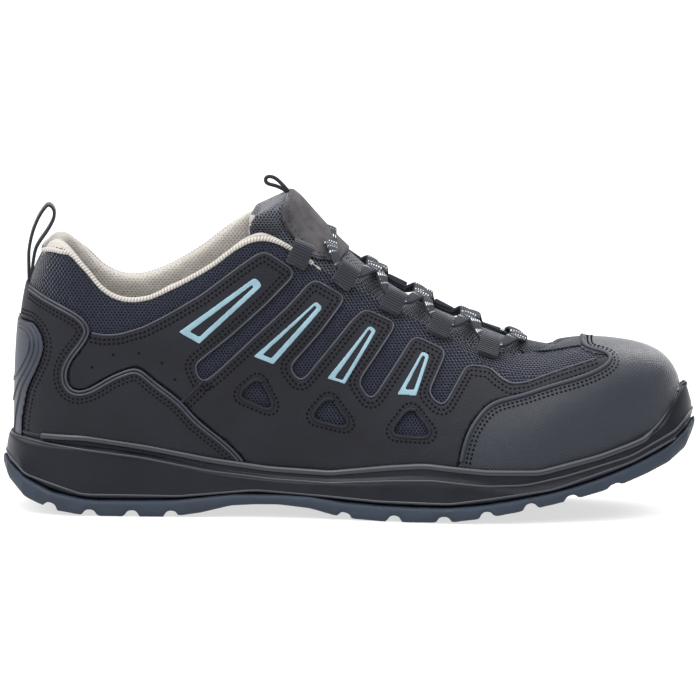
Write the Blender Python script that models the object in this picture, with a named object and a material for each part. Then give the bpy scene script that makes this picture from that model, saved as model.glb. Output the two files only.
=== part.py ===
"""Low safety trainer for the right foot: a cup sole with a separate outsole and a lace-up upper.

The frame has +X towards the toe, -Y on the outer (lateral) side and +Z up. The origin lies on the
ground under the middle of the heel.
"""
import math

import bmesh
import bpy
import numpy as np
from mathutils import Vector

# Driving sizes in metres.
SHOE_LENGTH = 0.302
BALL_WIDTH = 0.1005
HEEL_WIDTH = 0.071
COLLAR_HEIGHT = 0.118
INSTEP_HEIGHT = 0.0785
TOE_HEIGHT = 0.0757
RIM_HEIGHT = 0.035
TOE_SPRING = 0.028
UPPER_WALL = 0.0022
COLLAR_PADDING = 0.0120
INSOLE_THICKNESS = 0.0045
OVERLAY_THICKNESS = 0.0014
HEEL_PAD_THICKNESS = 0.0026
TONGUE_THICKNESS = 0.0085
TONGUE_HEIGHT = 0.1405
BADGE_THICKNESS = 0.0015
WEBBING_WIDTH = 0.0092
WEBBING_THICKNESS = 0.0010
LACE_WIDTH = 0.0068
LACE_THICKNESS = 0.0016
PULL_LOOP_WIDTH = 0.0095
PULL_LOOP_THICKNESS = 0.0015
WEBBING_REACH = 0.0145
LACE_LIFT = 0.0022
LACE_OVER = 0.0012
TOP_BAR_BOW = 0.0082
TONGUE_LOOP_WIDTH = 0.0030
TONGUE_LOOP_THICKNESS = 0.0013
TREAD_NOTCH_DEPTH = 0.0028
TREAD_NOTCH_WIDTH = 0.0070
OUTSOLE_BEVEL = 0.0012
GAP = 0.0003

LATERAL = -1
MEDIAL = 1

# The heel and toe axes, about which the sections fan, and the middle of the heel's ground flat.
HEEL_AXIS = 0.116 * SHOE_LENGTH
TOE_AXIS = 0.828 * SHOE_LENGTH
ORIGIN_X = 0.205 * SHOE_LENGTH

# A station from 0 to 1 fans round the heel, from 1 to 2 runs along the foot, and from 2 to 3 fans
# round the toe.
HEEL_STATIONS = (0.0, 0.25, 0.5, 0.75)
FOOT_STATIONS = (1.0, 1.03, 1.07, 1.12, 1.18, 1.24, 1.30, 1.35, 1.40,
                 1.46, 1.53, 1.60, 1.67, 1.74, 1.81, 1.87, 1.92, 1.96)
TOE_STATIONS = (2.0, 2.17, 2.34, 2.5, 2.67, 2.83)


def smooth(table, place):
    """Read a two-column table at a place with a cubic that never overshoots its rows."""
    xs = [row[0] for row in table]
    ys = [row[1] for row in table]
    if place <= xs[0]:
        return ys[0]
    if place >= xs[-1]:
        return ys[-1]
    steps = [xs[i + 1] - xs[i] for i in range(len(xs) - 1)]
    slopes = [(ys[i + 1] - ys[i]) / steps[i] for i in range(len(steps))]
    k = max(i for i in range(len(steps)) if xs[i] <= place)

    def tangent(i):
        if i == 0 or i == len(xs) - 1:
            return slopes[0] if i == 0 else slopes[-1]
        if slopes[i - 1] * slopes[i] <= 0.0:
            return 0.0
        first = 2 * steps[i] + steps[i - 1]
        second = steps[i] + 2 * steps[i - 1]
        return (first + second) / (first / slopes[i - 1] + second / slopes[i])

    t = (place - xs[k]) / steps[k]
    start = (1 + 2 * t) * (1 - t) ** 2 * ys[k] + t * (1 - t) ** 2 * steps[k] * tangent(k)
    end = t * t * (3 - 2 * t) * ys[k + 1] + t * t * (t - 1) * steps[k] * tangent(k + 1)
    return start + end


def columns(names, rows):
    """Split a table with named columns into one two-column table for each name."""
    return {name: [(row[0], row[i + 1]) for row in rows] for i, name in enumerate(names)}


def half_width(station):
    """The half-width that sections follow: the heel's, growing into the ball's."""
    return smooth(((1.15, HEEL_WIDTH / 2), (1.75, BALL_WIDTH / 2)), station)


def top_height(station):
    """The height that sections follow: the collar's, then the instep's, then the toe's."""
    return smooth(((1.36, COLLAR_HEIGHT), (1.74, INSTEP_HEIGHT), (2.0, TOE_HEIGHT)), station)


# Plan of the sole: half-width as a share of the width it follows, and the spine's swing to the
# medial side and the throat's swing from the spine as shares of the ball width.
PLAN = columns(("half", "spine", "throat"), (
    (0.0, 1.00, 0.000, 0.000),
    (1.0, 1.00, 0.000, 0.000),
    (1.116, 0.985, -0.002, 0.000),
    (1.256, 0.892, -0.015, 0.010),
    (1.372, 0.800, -0.024, 0.025),
    (1.488, 0.803, -0.025, 0.038),
    (1.605, 0.873, -0.020, 0.040),
    (1.721, 0.965, -0.008, 0.036),
    (1.828, 1.000, 0.002, 0.028),
    (1.907, 1.000, 0.018, 0.014),
    (2.0, 1.000, 0.036, 0.000),
    (3.0, 1.000, 0.036, 0.000)))
BALL_STATION = 1.828
REACH_ACROSS = 0.8 * BALL_WIDTH
BALL_AXIS = HEEL_AXIS + (BALL_STATION - 1.0) * (TOE_AXIS - HEEL_AXIS)
HEEL_REACH = HEEL_AXIS
TOE_REACH = SHOE_LENGTH - BALL_AXIS
HEEL_ROUNDNESS = 2.35
TOE_ROUNDNESS = {LATERAL: 1.98, MEDIAL: 2.25}

# Heights of the sole by share of the shoe's length: lift is a share of the toe spring, and the rest
# are shares of the rim height, measured above the lift.
SOLE_LINES = columns(("lift", "ground", "groove", "ridge", "rim", "floor"), (
    (0.000, 0.00, 0.530, 0.715, 0.966, 1.115, 0.643),
    (0.017, 0.00, 0.300, 0.540, 0.923, 1.050, 0.643),
    (0.043, 0.00, 0.157, 0.411, 0.886, 1.000, 0.637),
    (0.083, 0.00, 0.050, 0.271, 0.874, 1.000, 0.629),
    (0.140, 0.00, 0.000, 0.211, 0.829, 0.980, 0.629),
    (0.205, 0.00, 0.000, 0.211, 0.749, 0.894, 0.614),
    (0.265, 0.00, 0.000, 0.229, 0.643, 0.809, 0.571),
    (0.308, 0.00, 0.125, 0.289, 0.566, 0.734, 0.543),
    (0.348, 0.00, 0.160, 0.306, 0.520, 0.671, 0.514),
    (0.387, 0.00, 0.171, 0.306, 0.491, 0.646, 0.486),
    (0.430, 0.00, 0.154, 0.303, 0.469, 0.620, 0.457),
    (0.477, 0.00, 0.046, 0.246, 0.457, 0.611, 0.414),
    (0.520, 0.00, 0.000, 0.214, 0.474, 0.640, 0.394),
    (0.563, 0.00, 0.000, 0.203, 0.511, 0.711, 0.380),
    (0.619, 0.00, 0.000, 0.200, 0.534, 0.743, 0.371),
    (0.682, 0.07, 0.000, 0.177, 0.429, 0.640, 0.323),
    (0.745, 0.19, 0.000, 0.166, 0.246, 0.508, 0.280),
    (0.805, 0.32, 0.000, 0.160, 0.236, 0.458, 0.274),
    (0.861, 0.47, 0.000, 0.177, 0.253, 0.477, 0.297),
    (0.907, 0.63, 0.000, 0.194, 0.270, 0.480, 0.311),
    (0.940, 0.77, 0.000, 0.206, 0.282, 0.480, 0.314),
    (0.957, 0.85, 0.000, 0.211, 0.290, 0.540, 0.350),
    (0.967, 0.90, 0.005, 0.225, 0.305, 0.715, 0.375),
    (0.980, 0.96, 0.030, 0.270, 0.350, 0.910, 0.400),
    (0.990, 1.00, 0.110, 0.310, 0.395, 0.930, 0.420),
    (1.000, 1.00, 0.300, 0.470, 0.555, 0.930, 0.430)))

# How far each line of the sole's side lies inside its outline, as shares of the rim height.
SOLE_INSETS = columns(("groove", "band", "ridge", "scoop", "lip", "upper"), (
    (0.0, 0.037, 0.017, 0.057, 0.140, 0.123, 0.200),
    (0.6, 0.037, 0.014, 0.040, 0.118, 0.095, 0.172),
    (1.1, 0.037, 0.010, 0.026, 0.106, 0.080, 0.160),
    (1.45, 0.037, 0.010, 0.020, 0.074, 0.066, 0.157),
    (1.75, 0.037, 0.010, 0.020, 0.066, 0.063, 0.157),
    (2.0, 0.037, 0.010, 0.014, 0.052, 0.066, 0.157),
    (3.0, 0.030, 0.008, 0.010, 0.034, 0.103, 0.160)))

# Upper edge of the upper, at the collar, throat and toe. Half-widths and handles are shares of the
# half-width that a section follows and heights of the height that it follows. Lean is the slope at
# the edge in degrees, padding a share of the collar's, and medial the share by which that side is
# higher. Collar is 1 where the edge is a padded roll and 0 where it is a bare wall.
EDGE = columns(("half", "height", "lean", "crown", "rise", "belly", "padding", "collar", "medial"), (
    (0.00, 0.493, 0.955, 36.0, 0.40, 0.45, 0.030, 0.68, 1.0, 0.000),
    (0.25, 0.545, 0.964, 40.0, 0.38, 0.45, 0.040, 0.74, 1.0, 0.000),
    (0.50, 0.655, 0.976, 52.0, 0.36, 0.45, 0.055, 0.84, 1.0, 0.000),
    (0.75, 0.755, 0.964, 64.0, 0.36, 0.44, 0.075, 0.86, 1.0, 0.006),
    (1.00, 0.815, 0.890, 74.0, 0.38, 0.42, 0.090, 0.80, 1.0, 0.018),
    (1.023, 0.828, 0.830, 76.0, 0.40, 0.42, 0.092, 0.79, 1.0, 0.028),
    (1.051, 0.843, 0.784, 78.0, 0.42, 0.42, 0.095, 0.78, 1.0, 0.036),
    (1.088, 0.858, 0.767, 80.0, 0.44, 0.42, 0.098, 0.76, 1.0, 0.036),
    (1.135, 0.860, 0.780, 80.0, 0.46, 0.42, 0.100, 0.74, 1.0, 0.030),
    (1.186, 0.845, 0.818, 78.0, 0.50, 0.42, 0.100, 0.72, 1.0, 0.026),
    (1.237, 0.800, 0.873, 75.0, 0.55, 0.42, 0.100, 0.69, 1.0, 0.022),
    (1.284, 0.735, 0.932, 72.0, 0.60, 0.42, 0.100, 0.64, 1.0, 0.018),
    (1.325, 0.680, 0.985, 69.0, 0.62, 0.42, 0.095, 0.56, 0.9, 0.012),
    (1.363, 0.632, 1.012, 66.0, 0.62, 0.42, 0.090, 0.42, 0.7, 0.006),
    (1.40, 0.598, 1.018, 63.0, 0.60, 0.42, 0.085, 0.26, 0.4, 0.000),
    (1.44, 0.566, 1.030, 60.0, 0.58, 0.42, 0.080, 0.19, 0.1, 0.000),
    (1.49, 0.532, 1.056, 56.0, 0.54, 0.42, 0.075, 0.18, 0.0, 0.000),
    (1.54, 0.500, 1.055, 52.0, 0.50, 0.42, 0.075, 0.18, 0.0, 0.000),
    (1.645, 0.448, 1.062, 45.0, 0.42, 0.42, 0.070, 0.18, 0.0, 0.000),
    (1.74, 0.418, 1.000, 38.0, 0.36, 0.44, 0.060, 0.18, 0.0, 0.000),
    (1.84, 0.378, 0.915, 28.0, 0.34, 0.48, 0.050, 0.18, 0.0, 0.000),
    (1.91, 0.285, 0.925, 22.0, 0.42, 0.55, 0.040, 0.18, 0.0, 0.000),
    (1.955, 0.165, 0.968, 13.0, 0.52, 0.62, 0.030, 0.17, 0.0, 0.000),
    (2.0, 0.000, 1.000, 0.0, 0.62, 0.70, 0.020, 0.16, 0.0, 0.000),
    (2.5, 0.000, 1.000, 0.0, 0.70, 0.80, 0.012, 0.16, 0.0, 0.000),
    (3.0, 0.000, 1.000, 0.0, 0.74, 0.86, 0.010, 0.16, 0.0, 0.000)))
# Half-width, as a share of the section's, below which the throat's swing fades out.
NARROW_THROAT = 0.3
# Height of the edge's round over its half-thickness, at a padded collar and at a bare wall.
ROLL_HEIGHT = 0.95
EDGE_ROUND = 0.35
# The padded collar's inner face: its drop as a share of the height, its splay and its swell as shares
# of its thickness and of the wall.
COLLAR_INNER_DROP = 0.17
COLLAR_INNER_SPLAY = 0.32
COLLAR_INNER_SWELL = 0.6
SIDE_ROWS = 6
FOOT_ROWS = 2
BISECTIONS = 40


def sole_line(name, x):
    """Height of a line of the sole at a place along the shoe."""
    share = (x + ORIGIN_X) / SHOE_LENGTH
    lift = smooth(SOLE_LINES["lift"], share) * TOE_SPRING
    return lift + smooth(SOLE_LINES[name], share) * RIM_HEIGHT


def ray(side, station):
    """The point that a station's section starts from and the direction that it faces, in plan."""
    spine = smooth(PLAN["spine"], station) * BALL_WIDTH
    if station < 1.0:
        turn = station * math.pi / 2
        return (HEEL_AXIS - ORIGIN_X, spine), (-math.cos(turn), side * math.sin(turn))
    if station > 2.0:
        turn = (3.0 - station) * math.pi / 2
        return (TOE_AXIS - ORIGIN_X, spine), (math.cos(turn), side * math.sin(turn))
    x = HEEL_AXIS + (station - 1.0) * (TOE_AXIS - HEEL_AXIS) - ORIGIN_X
    return (x, spine), (0.0, float(side))


def outline(side, station, inset):
    """Distance from the spine to the sole's outline, moved inwards by an inset."""
    wide = smooth(PLAN["half"], station) * half_width(station) - inset
    if station < 1.0:
        turn = station * math.pi / 2
        reach = HEEL_REACH - inset
        power = HEEL_ROUNDNESS
        return ((math.cos(turn) / reach) ** power + (math.sin(turn) / wide) ** power) ** (-1 / power)
    if station <= BALL_STATION:
        return wide
    reach = TOE_REACH - inset
    turn = min(3.0 - station, 1.0) * math.pi / 2
    ahead = HEEL_AXIS + (min(station, 2.0) - 1.0) * (TOE_AXIS - HEEL_AXIS) - BALL_AXIS
    low, high = 0.0, reach + wide
    for _ in range(BISECTIONS):
        radius = (low + high) / 2
        x = (ahead + radius * math.cos(turn)) / reach
        y = radius * math.sin(turn) / wide
        if x ** TOE_ROUNDNESS[side] + y ** TOE_ROUNDNESS[side] < 1.0:
            low = radius
        else:
            high = radius
    return low


def place(side, station, radius, height):
    """A point in space from a distance along a station's ray and a height."""
    start, way = ray(side, station)
    return Vector((start[0] + way[0] * radius, start[1] + way[1] * radius, height))


def sole_point(side, station, line, inset, rise=0.0):
    """A point of the sole on a line of its side."""
    radius = outline(side, station, inset)
    point = place(side, station, radius, 0.0)
    point.z = sole_line(line, point.x) + rise
    return point


def section(side, station):
    """Control points of a section's outer and inner curves, as distance and height pairs."""
    width = half_width(station)
    inset = smooth(SOLE_INSETS["upper"], station) * RIM_HEIGHT
    foot = outline(side, station, inset)
    base = sole_line("floor", place(side, station, foot, 0.0).x) + GAP
    swing = side * smooth(PLAN["throat"], station) * BALL_WIDTH
    edge = smooth(EDGE["half"], station) * width
    if 1.0 <= station < 2.0:
        edge += swing * min(1.0, edge / (NARROW_THROAT * width))
    share = smooth(EDGE["height"], station)
    if side == MEDIAL:
        share += smooth(EDGE["medial"], station)
    top = share * top_height(station)
    lean = math.radians(smooth(EDGE["lean"], station))
    crown = smooth(EDGE["crown"], station) * max(width, foot)
    rise = smooth(EDGE["rise"], station) * (top - base)
    belly = smooth(EDGE["belly"], station) * width
    thick = smooth(EDGE["padding"], station) * COLLAR_PADDING
    collar = smooth(EDGE["collar"], station)
    outer = [np.array((foot, base)),
             np.array((foot + belly, base + rise)),
             np.array((edge + crown * math.cos(lean), top - crown * math.sin(lean))),
             np.array((edge, top))]
    bare = np.array((math.sin(lean), math.cos(lean)))
    padded = np.array((1.0, 0.0))
    seat = bare * (1 - collar) + padded * collar
    seat /= np.linalg.norm(seat)
    side_wall = np.array((UPPER_WALL, 0.0))
    inner_edge = outer[3] - seat * thick
    bare_handle = outer[2] - bare * thick
    pad_handle = inner_edge + np.array((COLLAR_INNER_SPLAY * thick, -COLLAR_INNER_DROP * (top - base)))
    inner = [outer[0] - side_wall,
             outer[1] - side_wall * (1 + COLLAR_INNER_SWELL * collar),
             bare_handle * (1 - collar) + pad_handle * collar,
             inner_edge]
    return outer, inner


def bezier(points, t):
    """A point and the outward normal of a cubic section curve."""
    a, b, c, d = points
    s = 1 - t
    point = s ** 3 * a + 3 * s * s * t * b + 3 * s * t * t * c + t ** 3 * d
    slope = s * s * (b - a) + 2 * s * t * (c - b) + t * t * (d - c)
    length = np.linalg.norm(slope)
    normal = np.array((slope[1], -slope[0])) / length if length > 1e-9 else np.array((0.0, 1.0))
    return point, normal


def share_at_height(points, height):
    """How far along a section curve a height is reached."""
    low, high = 0.0, 1.0
    for _ in range(BISECTIONS):
        middle = (low + high) / 2
        if bezier(points, middle)[0][1] < height:
            low = middle
        else:
            high = middle
    return (low + high) / 2


def rim_share(side, station, points, rise=0.0):
    """Where a section curve leaves the sole's rim."""
    share = 0.0
    for _ in range(6):
        radius = bezier(points, share)[0][0]
        x = place(side, station, radius, 0.0).x
        share = share_at_height(points, sole_line("rim", x) + rise)
    return share


def curve_rows(side, station, points, offset, first):
    """Points up a section curve from a share to its edge, moved outwards by an offset."""
    found = []
    for step in range(SIDE_ROWS + 1):
        share = first + (1 - first) * step / SIDE_ROWS
        point, normal = bezier(points, share)
        point = point + normal * offset
        found.append(place(side, station, max(point[0], 0.0), point[1]))
    return found


def walk(first, last):
    """The stations of one side between two limits, both included."""
    stations = HEEL_STATIONS + FOOT_STATIONS + TOE_STATIONS + (3.0,)
    inner = [station for station in stations if first < station < last]
    return [first] + inner + [last]


def round_trip(first=0.0, last=3.0):
    """Side and station pairs from the heel along the lateral side to the toe and back."""
    out = [(LATERAL, station) for station in walk(first, last)]
    back = [(MEDIAL, station) for station in reversed(walk(first, last))]
    if last == 3.0:
        back = back[1:]
    if first == 0.0:
        back = back[:-1]
    return out + back


def heel_trip(last):
    """Side and station pairs from the medial side round the heel to the lateral side."""
    back = [(MEDIAL, station) for station in reversed(walk(0.0, last))]
    return back + [(LATERAL, station) for station in walk(0.0, last)[1:]]


def new_object(name, mesh, material):
    """Link a mesh as an object with its material."""
    piece = bpy.data.objects.new(name, mesh)
    bpy.context.scene.collection.objects.link(piece)
    if material:
        mesh.materials.append(material)
    return piece


def finish(work, name):
    """Turn a working mesh into a mesh with its faces outwards and its soft edges smooth."""
    bmesh.ops.recalc_face_normals(work, faces=work.faces)
    if work.calc_volume(signed=True) < 0:
        bmesh.ops.reverse_faces(work, faces=work.faces)
    mesh = bpy.data.meshes.new(name)
    work.to_mesh(mesh)
    work.free()
    mesh.polygons.foreach_set("use_smooth", [True] * len(mesh.polygons))
    mesh.set_sharp_from_angle(angle=math.radians(40))
    return mesh


def sweep(name, loops, material, around=True, across=True):
    """Skin a row of equal loops. Around joins the last loop to the first, and across closes each
    loop on itself. Open ends are capped."""
    work = bmesh.new()
    known = {}

    def vertex(point):
        key = tuple(round(value * 1e6) for value in point)
        if key not in known:
            known[key] = work.verts.new(point)
        return known[key]

    def face(points):
        corners = []
        for point in points:
            corner = vertex(point)
            if corner not in corners:
                corners.append(corner)
        if len(corners) > 2 and not work.faces.get(corners):
            work.faces.new(corners)

    count = len(loops)
    size = len(loops[0])
    for i in range(count if around else count - 1):
        here, there = loops[i], loops[(i + 1) % count]
        for j in range(size if across else size - 1):
            k = (j + 1) % size
            face((here[j], there[j], there[k], here[k]))
    bmesh.ops.triangulate(work, faces=work.faces, quad_method='SHORT_EDGE')
    if not around:
        face(loops[0])
        face(list(reversed(loops[-1])))
    return new_object(name, finish(work, name), material)


def prism(name, ends):
    """A cutter between two equal outlines."""
    near, far = ends
    work = bmesh.new()
    near = [work.verts.new(point) for point in near]
    far = [work.verts.new(point) for point in far]
    work.faces.new(near)
    work.faces.new(list(reversed(far)))
    for i in range(len(near)):
        k = (i + 1) % len(near)
        work.faces.new((near[k], near[i], far[i], far[k]))
    cutter = new_object(name, finish(work, name), None)
    cutter.hide_render = True
    cutter.display_type = 'WIRE'
    return cutter


def side_prism(name, corners):
    """A cutter that runs a side-view outline across the whole shoe."""
    ends = [[Vector((x, y, z)) for x, z in corners] for y in (-REACH_ACROSS, REACH_ACROSS)]
    return prism(name, ends)


def cut(piece, cutter, operation):
    """Cut a piece with a cutter, apply the cut and drop the cutter."""
    modifier = piece.modifiers.new("cut", 'BOOLEAN')
    modifier.operation = operation
    modifier.solver = 'EXACT'
    modifier.object = cutter
    bpy.context.view_layer.objects.active = piece
    bpy.ops.object.modifier_apply(modifier=modifier.name)
    bpy.data.objects.remove(cutter, do_unlink=True)


def paint(name, colour, roughness, metallic=0.0):
    """A plain material."""
    material = bpy.data.materials.new(name)
    material.use_nodes = True
    shader = material.node_tree.nodes["Principled BSDF"]
    shader.inputs["Base Color"].default_value = (*colour, 1.0)
    shader.inputs["Roughness"].default_value = roughness
    shader.inputs["Metallic"].default_value = metallic
    return material


def upper_loop(side, station):
    """One closed section of the upper's wall: up the outside, over the edge, down the inside."""
    outer, inner = section(side, station)
    leave = rim_share(side, station, outer)
    loop = []
    for step in range(FOOT_ROWS):
        point = bezier(outer, leave * step / FOOT_ROWS)[0]
        loop.append(place(side, station, point[0], point[1]))
    loop += curve_rows(side, station, outer, 0.0, leave)
    loop += roll(side, station, outer, inner)
    back = curve_rows(side, station, inner, 0.0, 0.0)
    return loop + list(reversed(back))


def roll(side, station, outer, inner):
    """The points between the outer and inner edges: a roll at the collar, a round elsewhere."""
    centre = (outer[3] + inner[3]) / 2
    across = (outer[3] - inner[3]) / 2
    up = np.array((-across[1], across[0]))
    collar = smooth(EDGE["collar"], station)
    height = ROLL_HEIGHT * collar + EDGE_ROUND * (1 - collar)
    if station >= 2.0:
        height = 0.0
    points = []
    for turn in (45, 90, 135):
        angle = math.radians(turn)
        point = centre + across * math.cos(angle) + up * height * math.sin(angle)
        points.append(place(side, station, max(point[0], 0.0), point[1]))
    return points


def make_upper(material):
    loops = [upper_loop(side, station) for side, station in round_trip()]
    return sweep("upper", loops, material)


# Rings of the joint between outsole and midsole, as shares of the way out from the spine.
JOINT_RINGS = (0.0, 0.45, 0.8)
FLOOR_RING = 0.6


def joint_rings(side, station, line, rise):
    """Points across the joint between outsole and midsole."""
    inset = smooth(SOLE_INSETS["groove"], station) * RIM_HEIGHT
    reach = outline(side, station, inset)
    points = []
    for share in JOINT_RINGS:
        point = place(side, station, reach * share, 0.0)
        point.z = sole_line(line, point.x) + rise
        points.append(point)
    return points


def make_outsole(material):
    loops = []
    for side, station in round_trip():
        groove = smooth(SOLE_INSETS["groove"], station) * RIM_HEIGHT
        loop = joint_rings(side, station, "ground", 0.0)
        loop.append(sole_point(side, station, "ground", OUTSOLE_BEVEL))
        loop.append(sole_point(side, station, "ground", 0.0, OUTSOLE_BEVEL))
        loop.append(sole_point(side, station, "groove", 0.0, -OUTSOLE_BEVEL))
        loop.append(sole_point(side, station, "groove", groove))
        loop += reversed(joint_rings(side, station, "groove", 0.0))
        loops.append(loop)
    piece = sweep("outsole", loops, material, across=False)
    cut(piece, tread_cutter(), 'DIFFERENCE')
    return piece


# Tread grooves by share of the shoe's length. Depth is a share of the notch depth. Their mouth and
# floor are shares of the notch width, and the slope of the ground is read over a short run.
NOTCH_MOUTH = 0.625
NOTCH_FLOOR = 0.30
SLOPE_RUN = 0.003
TREAD = columns(("depth",), (
    (0.068, 1.0), (0.126, 1.0), (0.187, 1.0), (0.244, 1.0),
    (0.494, 0.9), (0.566, 1.0), (0.638, 1.0), (0.700, 1.0), (0.763, 1.0), (0.822, 0.8), (0.884, 0.5)))


def tread_cutter():
    """Grooves across the tread, each a trapezium with a narrower top, as one cutter."""
    grooves = []
    for share, depth in TREAD["depth"]:
        x = share * SHOE_LENGTH - ORIGIN_X
        rise = sole_line("ground", x + SLOPE_RUN) - sole_line("ground", x - SLOPE_RUN)
        along = Vector((2 * SLOPE_RUN, 0.0, rise)).normalized()
        up = Vector((-along.z, 0.0, along.x))
        floor = Vector((x, 0.0, sole_line("ground", x)))
        mouth = along * TREAD_NOTCH_WIDTH * NOTCH_MOUTH
        narrow = along * TREAD_NOTCH_WIDTH * NOTCH_FLOOR
        top = up * TREAD_NOTCH_DEPTH * depth
        profile = (floor - mouth - top, floor + mouth - top, floor + narrow + top, floor - narrow + top)
        across = Vector((0.0, REACH_ACROSS, 0.0))
        ends = [[point - across for point in profile], [point + across for point in profile]]
        grooves.append(prism("tread_groove_%d" % len(grooves), ends))
    work = bmesh.new()
    for groove in grooves:
        work.from_mesh(groove.data)
        bpy.data.objects.remove(groove, do_unlink=True)
    cutter = new_object("tread_cutter", finish(work, "tread_cutter"), None)
    cutter.hide_render = True
    cutter.display_type = 'WIRE'
    return cutter


def floor_rings(side, station, rise):
    """Points across the floor inside, from its edge to the insole's edge and on to the spine."""
    outer, inner = section(side, station)
    reach = outer[0][0] + GAP
    points = []
    for radius in (reach, inner[0][0] - 2 * GAP, FLOOR_RING * reach, 0.0):
        point = place(side, station, radius, 0.0)
        point.z = sole_line("floor", point.x) + rise
        points.append(point)
    return points


# The midsole's side: the height of its band and of its ridge's crest as shares of the rim height, the
# places of its scoop and of its lip as shares of the way from ridge to rim, and how far its shoulder
# lies out between the upper and the lip.
BAND_RISE = 0.04
CREST_DROP = 0.022
SCOOP_SHARE = 0.30
LIP_SHARE = 0.20
SHOULDER_SHARE = 0.72


def midsole_loop(side, station):
    """One section of the midsole, from the spine under it, out and up its side, and in again."""
    inset = {name: smooth(SOLE_INSETS[name], station) * RIM_HEIGHT for name in SOLE_INSETS}
    loop = joint_rings(side, station, "groove", GAP)
    loop.append(sole_point(side, station, "groove", inset["groove"], GAP))
    loop.append(sole_point(side, station, "groove", inset["band"], GAP + BAND_RISE * RIM_HEIGHT))
    ridge = sole_point(side, station, "ridge", inset["ridge"])
    lip = sole_point(side, station, "rim", inset["lip"])
    scoop = place(side, station, outline(side, station, inset["scoop"]), 0.0)
    depth = lip.z - ridge.z
    loop.append(ridge - Vector((0, 0, CREST_DROP * RIM_HEIGHT)))
    scoop.z = ridge.z + SCOOP_SHARE * depth
    loop.append(scoop)
    loop.append(lip - Vector((0, 0, LIP_SHARE * depth)))
    outer, _ = section(side, station)
    leave = rim_share(side, station, outer)
    top_point, top_normal = bezier(outer, leave)
    top_point = top_point + top_normal * GAP
    top = place(side, station, top_point[0], top_point[1])
    shoulder = top.lerp(Vector((lip.x, lip.y, top.z)), SHOULDER_SHARE)
    loop.append(shoulder)
    loop.append(top)
    for step in reversed(range(1, FOOT_ROWS)):
        point, normal = bezier(outer, leave * step / FOOT_ROWS)
        point = point + normal * GAP
        loop.append(place(side, station, point[0], point[1]))
    return loop + floor_rings(side, station, 0.0)


def make_midsole(material):
    loops = [midsole_loop(side, station) for side, station in round_trip()]
    return sweep("midsole", loops, material, across=False)


def make_insole(material):
    loops = []
    for side, station in round_trip():
        low = floor_rings(side, station, GAP)[1:]
        high = [point + Vector((0, 0, INSOLE_THICKNESS)) for point in low]
        loops.append(list(reversed(low)) + high)
    return sweep("insole", loops, material, across=False)


# Seams and outlines in side view: x is a share of the shoe's length from the back of the heel and z
# a share of the collar height.
TOE_CAP_EDGE = (
    (0.645, 0.020), (0.658, 0.218), (0.661, 0.262), (0.670, 0.337), (0.685, 0.396), (0.705, 0.441),
    (0.750, 0.468), (0.794, 0.503), (0.838, 0.537), (0.868, 0.570), (0.877, 0.592), (0.871, 0.602),
    (0.850, 0.610), (0.832, 0.613), (0.832, 0.800))
COUNTER_EDGE = (
    (-0.050, 0.870), (0.030, 0.845), (0.060, 0.811), (0.087, 0.776), (0.109, 0.746), (0.122, 0.712),
    (0.125, 0.686), (0.117, 0.639), (0.101, 0.583), (0.093, 0.534), (0.095, 0.487), (0.106, 0.464),
    (0.125, 0.476), (0.154, 0.520), (0.181, 0.549), (0.197, 0.550), (0.221, 0.502), (0.256, 0.434),
    (0.283, 0.360), (0.345, 0.220), (0.380, 0.020))
HEEL_PAD_EDGE = (
    (-0.050, 0.708), (0.030, 0.706), (0.044, 0.699), (0.055, 0.656), (0.056, 0.601), (0.047, 0.535),
    (0.036, 0.468), (0.031, 0.408), (0.027, 0.330), (0.025, 0.200))
# The panel's rows give a third value, the share of the length that its corner is rounded by.
PANEL_TOP = (
    (0.100, 0.690, 0.000), (0.124, 0.684, 0.000), (0.144, 0.674, 0.000), (0.167, 0.678, 0.000),
    (0.202, 0.706, 0.000), (0.234, 0.749, 0.000), (0.283, 0.819, 0.000), (0.343, 0.939, 0.000),
    (0.373, 0.990, 0.026), (0.422, 0.907, 0.022), (0.377, 0.788, 0.000), (0.327, 0.673, 0.000),
    (0.275, 0.565, 0.012), (0.287, 0.500, 0.010), (0.310, 0.549, 0.000), (0.360, 0.671, 0.000),
    (0.410, 0.789, 0.000), (0.444, 0.885, 0.022), (0.493, 0.812, 0.008), (0.457, 0.689, 0.000),
    (0.413, 0.562, 0.010), (0.429, 0.508, 0.010), (0.501, 0.733, 0.000), (0.519, 0.772, 0.012),
    (0.567, 0.715, 0.008), (0.513, 0.510, 0.010), (0.531, 0.442, 0.010), (0.590, 0.674, 0.010),
    (0.639, 0.616, 0.008), (0.614, 0.470, 0.010), (0.634, 0.423, 0.010), (0.667, 0.568, 0.008),
    (0.702, 0.556, 0.012), (0.715, 0.526, 0.010), (0.732, 0.500, 0.016), (0.756, 0.507, 0.000),
    (0.809, 0.553, 0.000), (0.868, 0.600, 0.000), (0.930, 0.640, 0.000), (0.980, 0.400, 0.000),
    (0.980, 0.020, 0.000), (0.100, 0.020, 0.000))
WINDOWS = (
    ((0.368, 0.522), (0.338, 0.455), (0.394, 0.396)),
    ((0.470, 0.455), (0.444, 0.376), (0.505, 0.340)),
    ((0.588, 0.420), (0.559, 0.323), (0.622, 0.316)))
# Fillets of the windows as a share of the length, and the scale of the panel's own fillets.
WINDOW_CORNER = 0.006
PANEL_CORNER = 0.5
CORNER_RUN = 0.45
# The overlays' outlines run on past the toe and the heel by this share of the length.
OVERRUN = 0.1


def in_side_view(points):
    """Turn shares of length and collar height into metres."""
    return [(x * SHOE_LENGTH - ORIGIN_X, z * COLLAR_HEIGHT) for x, z in points]


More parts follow.
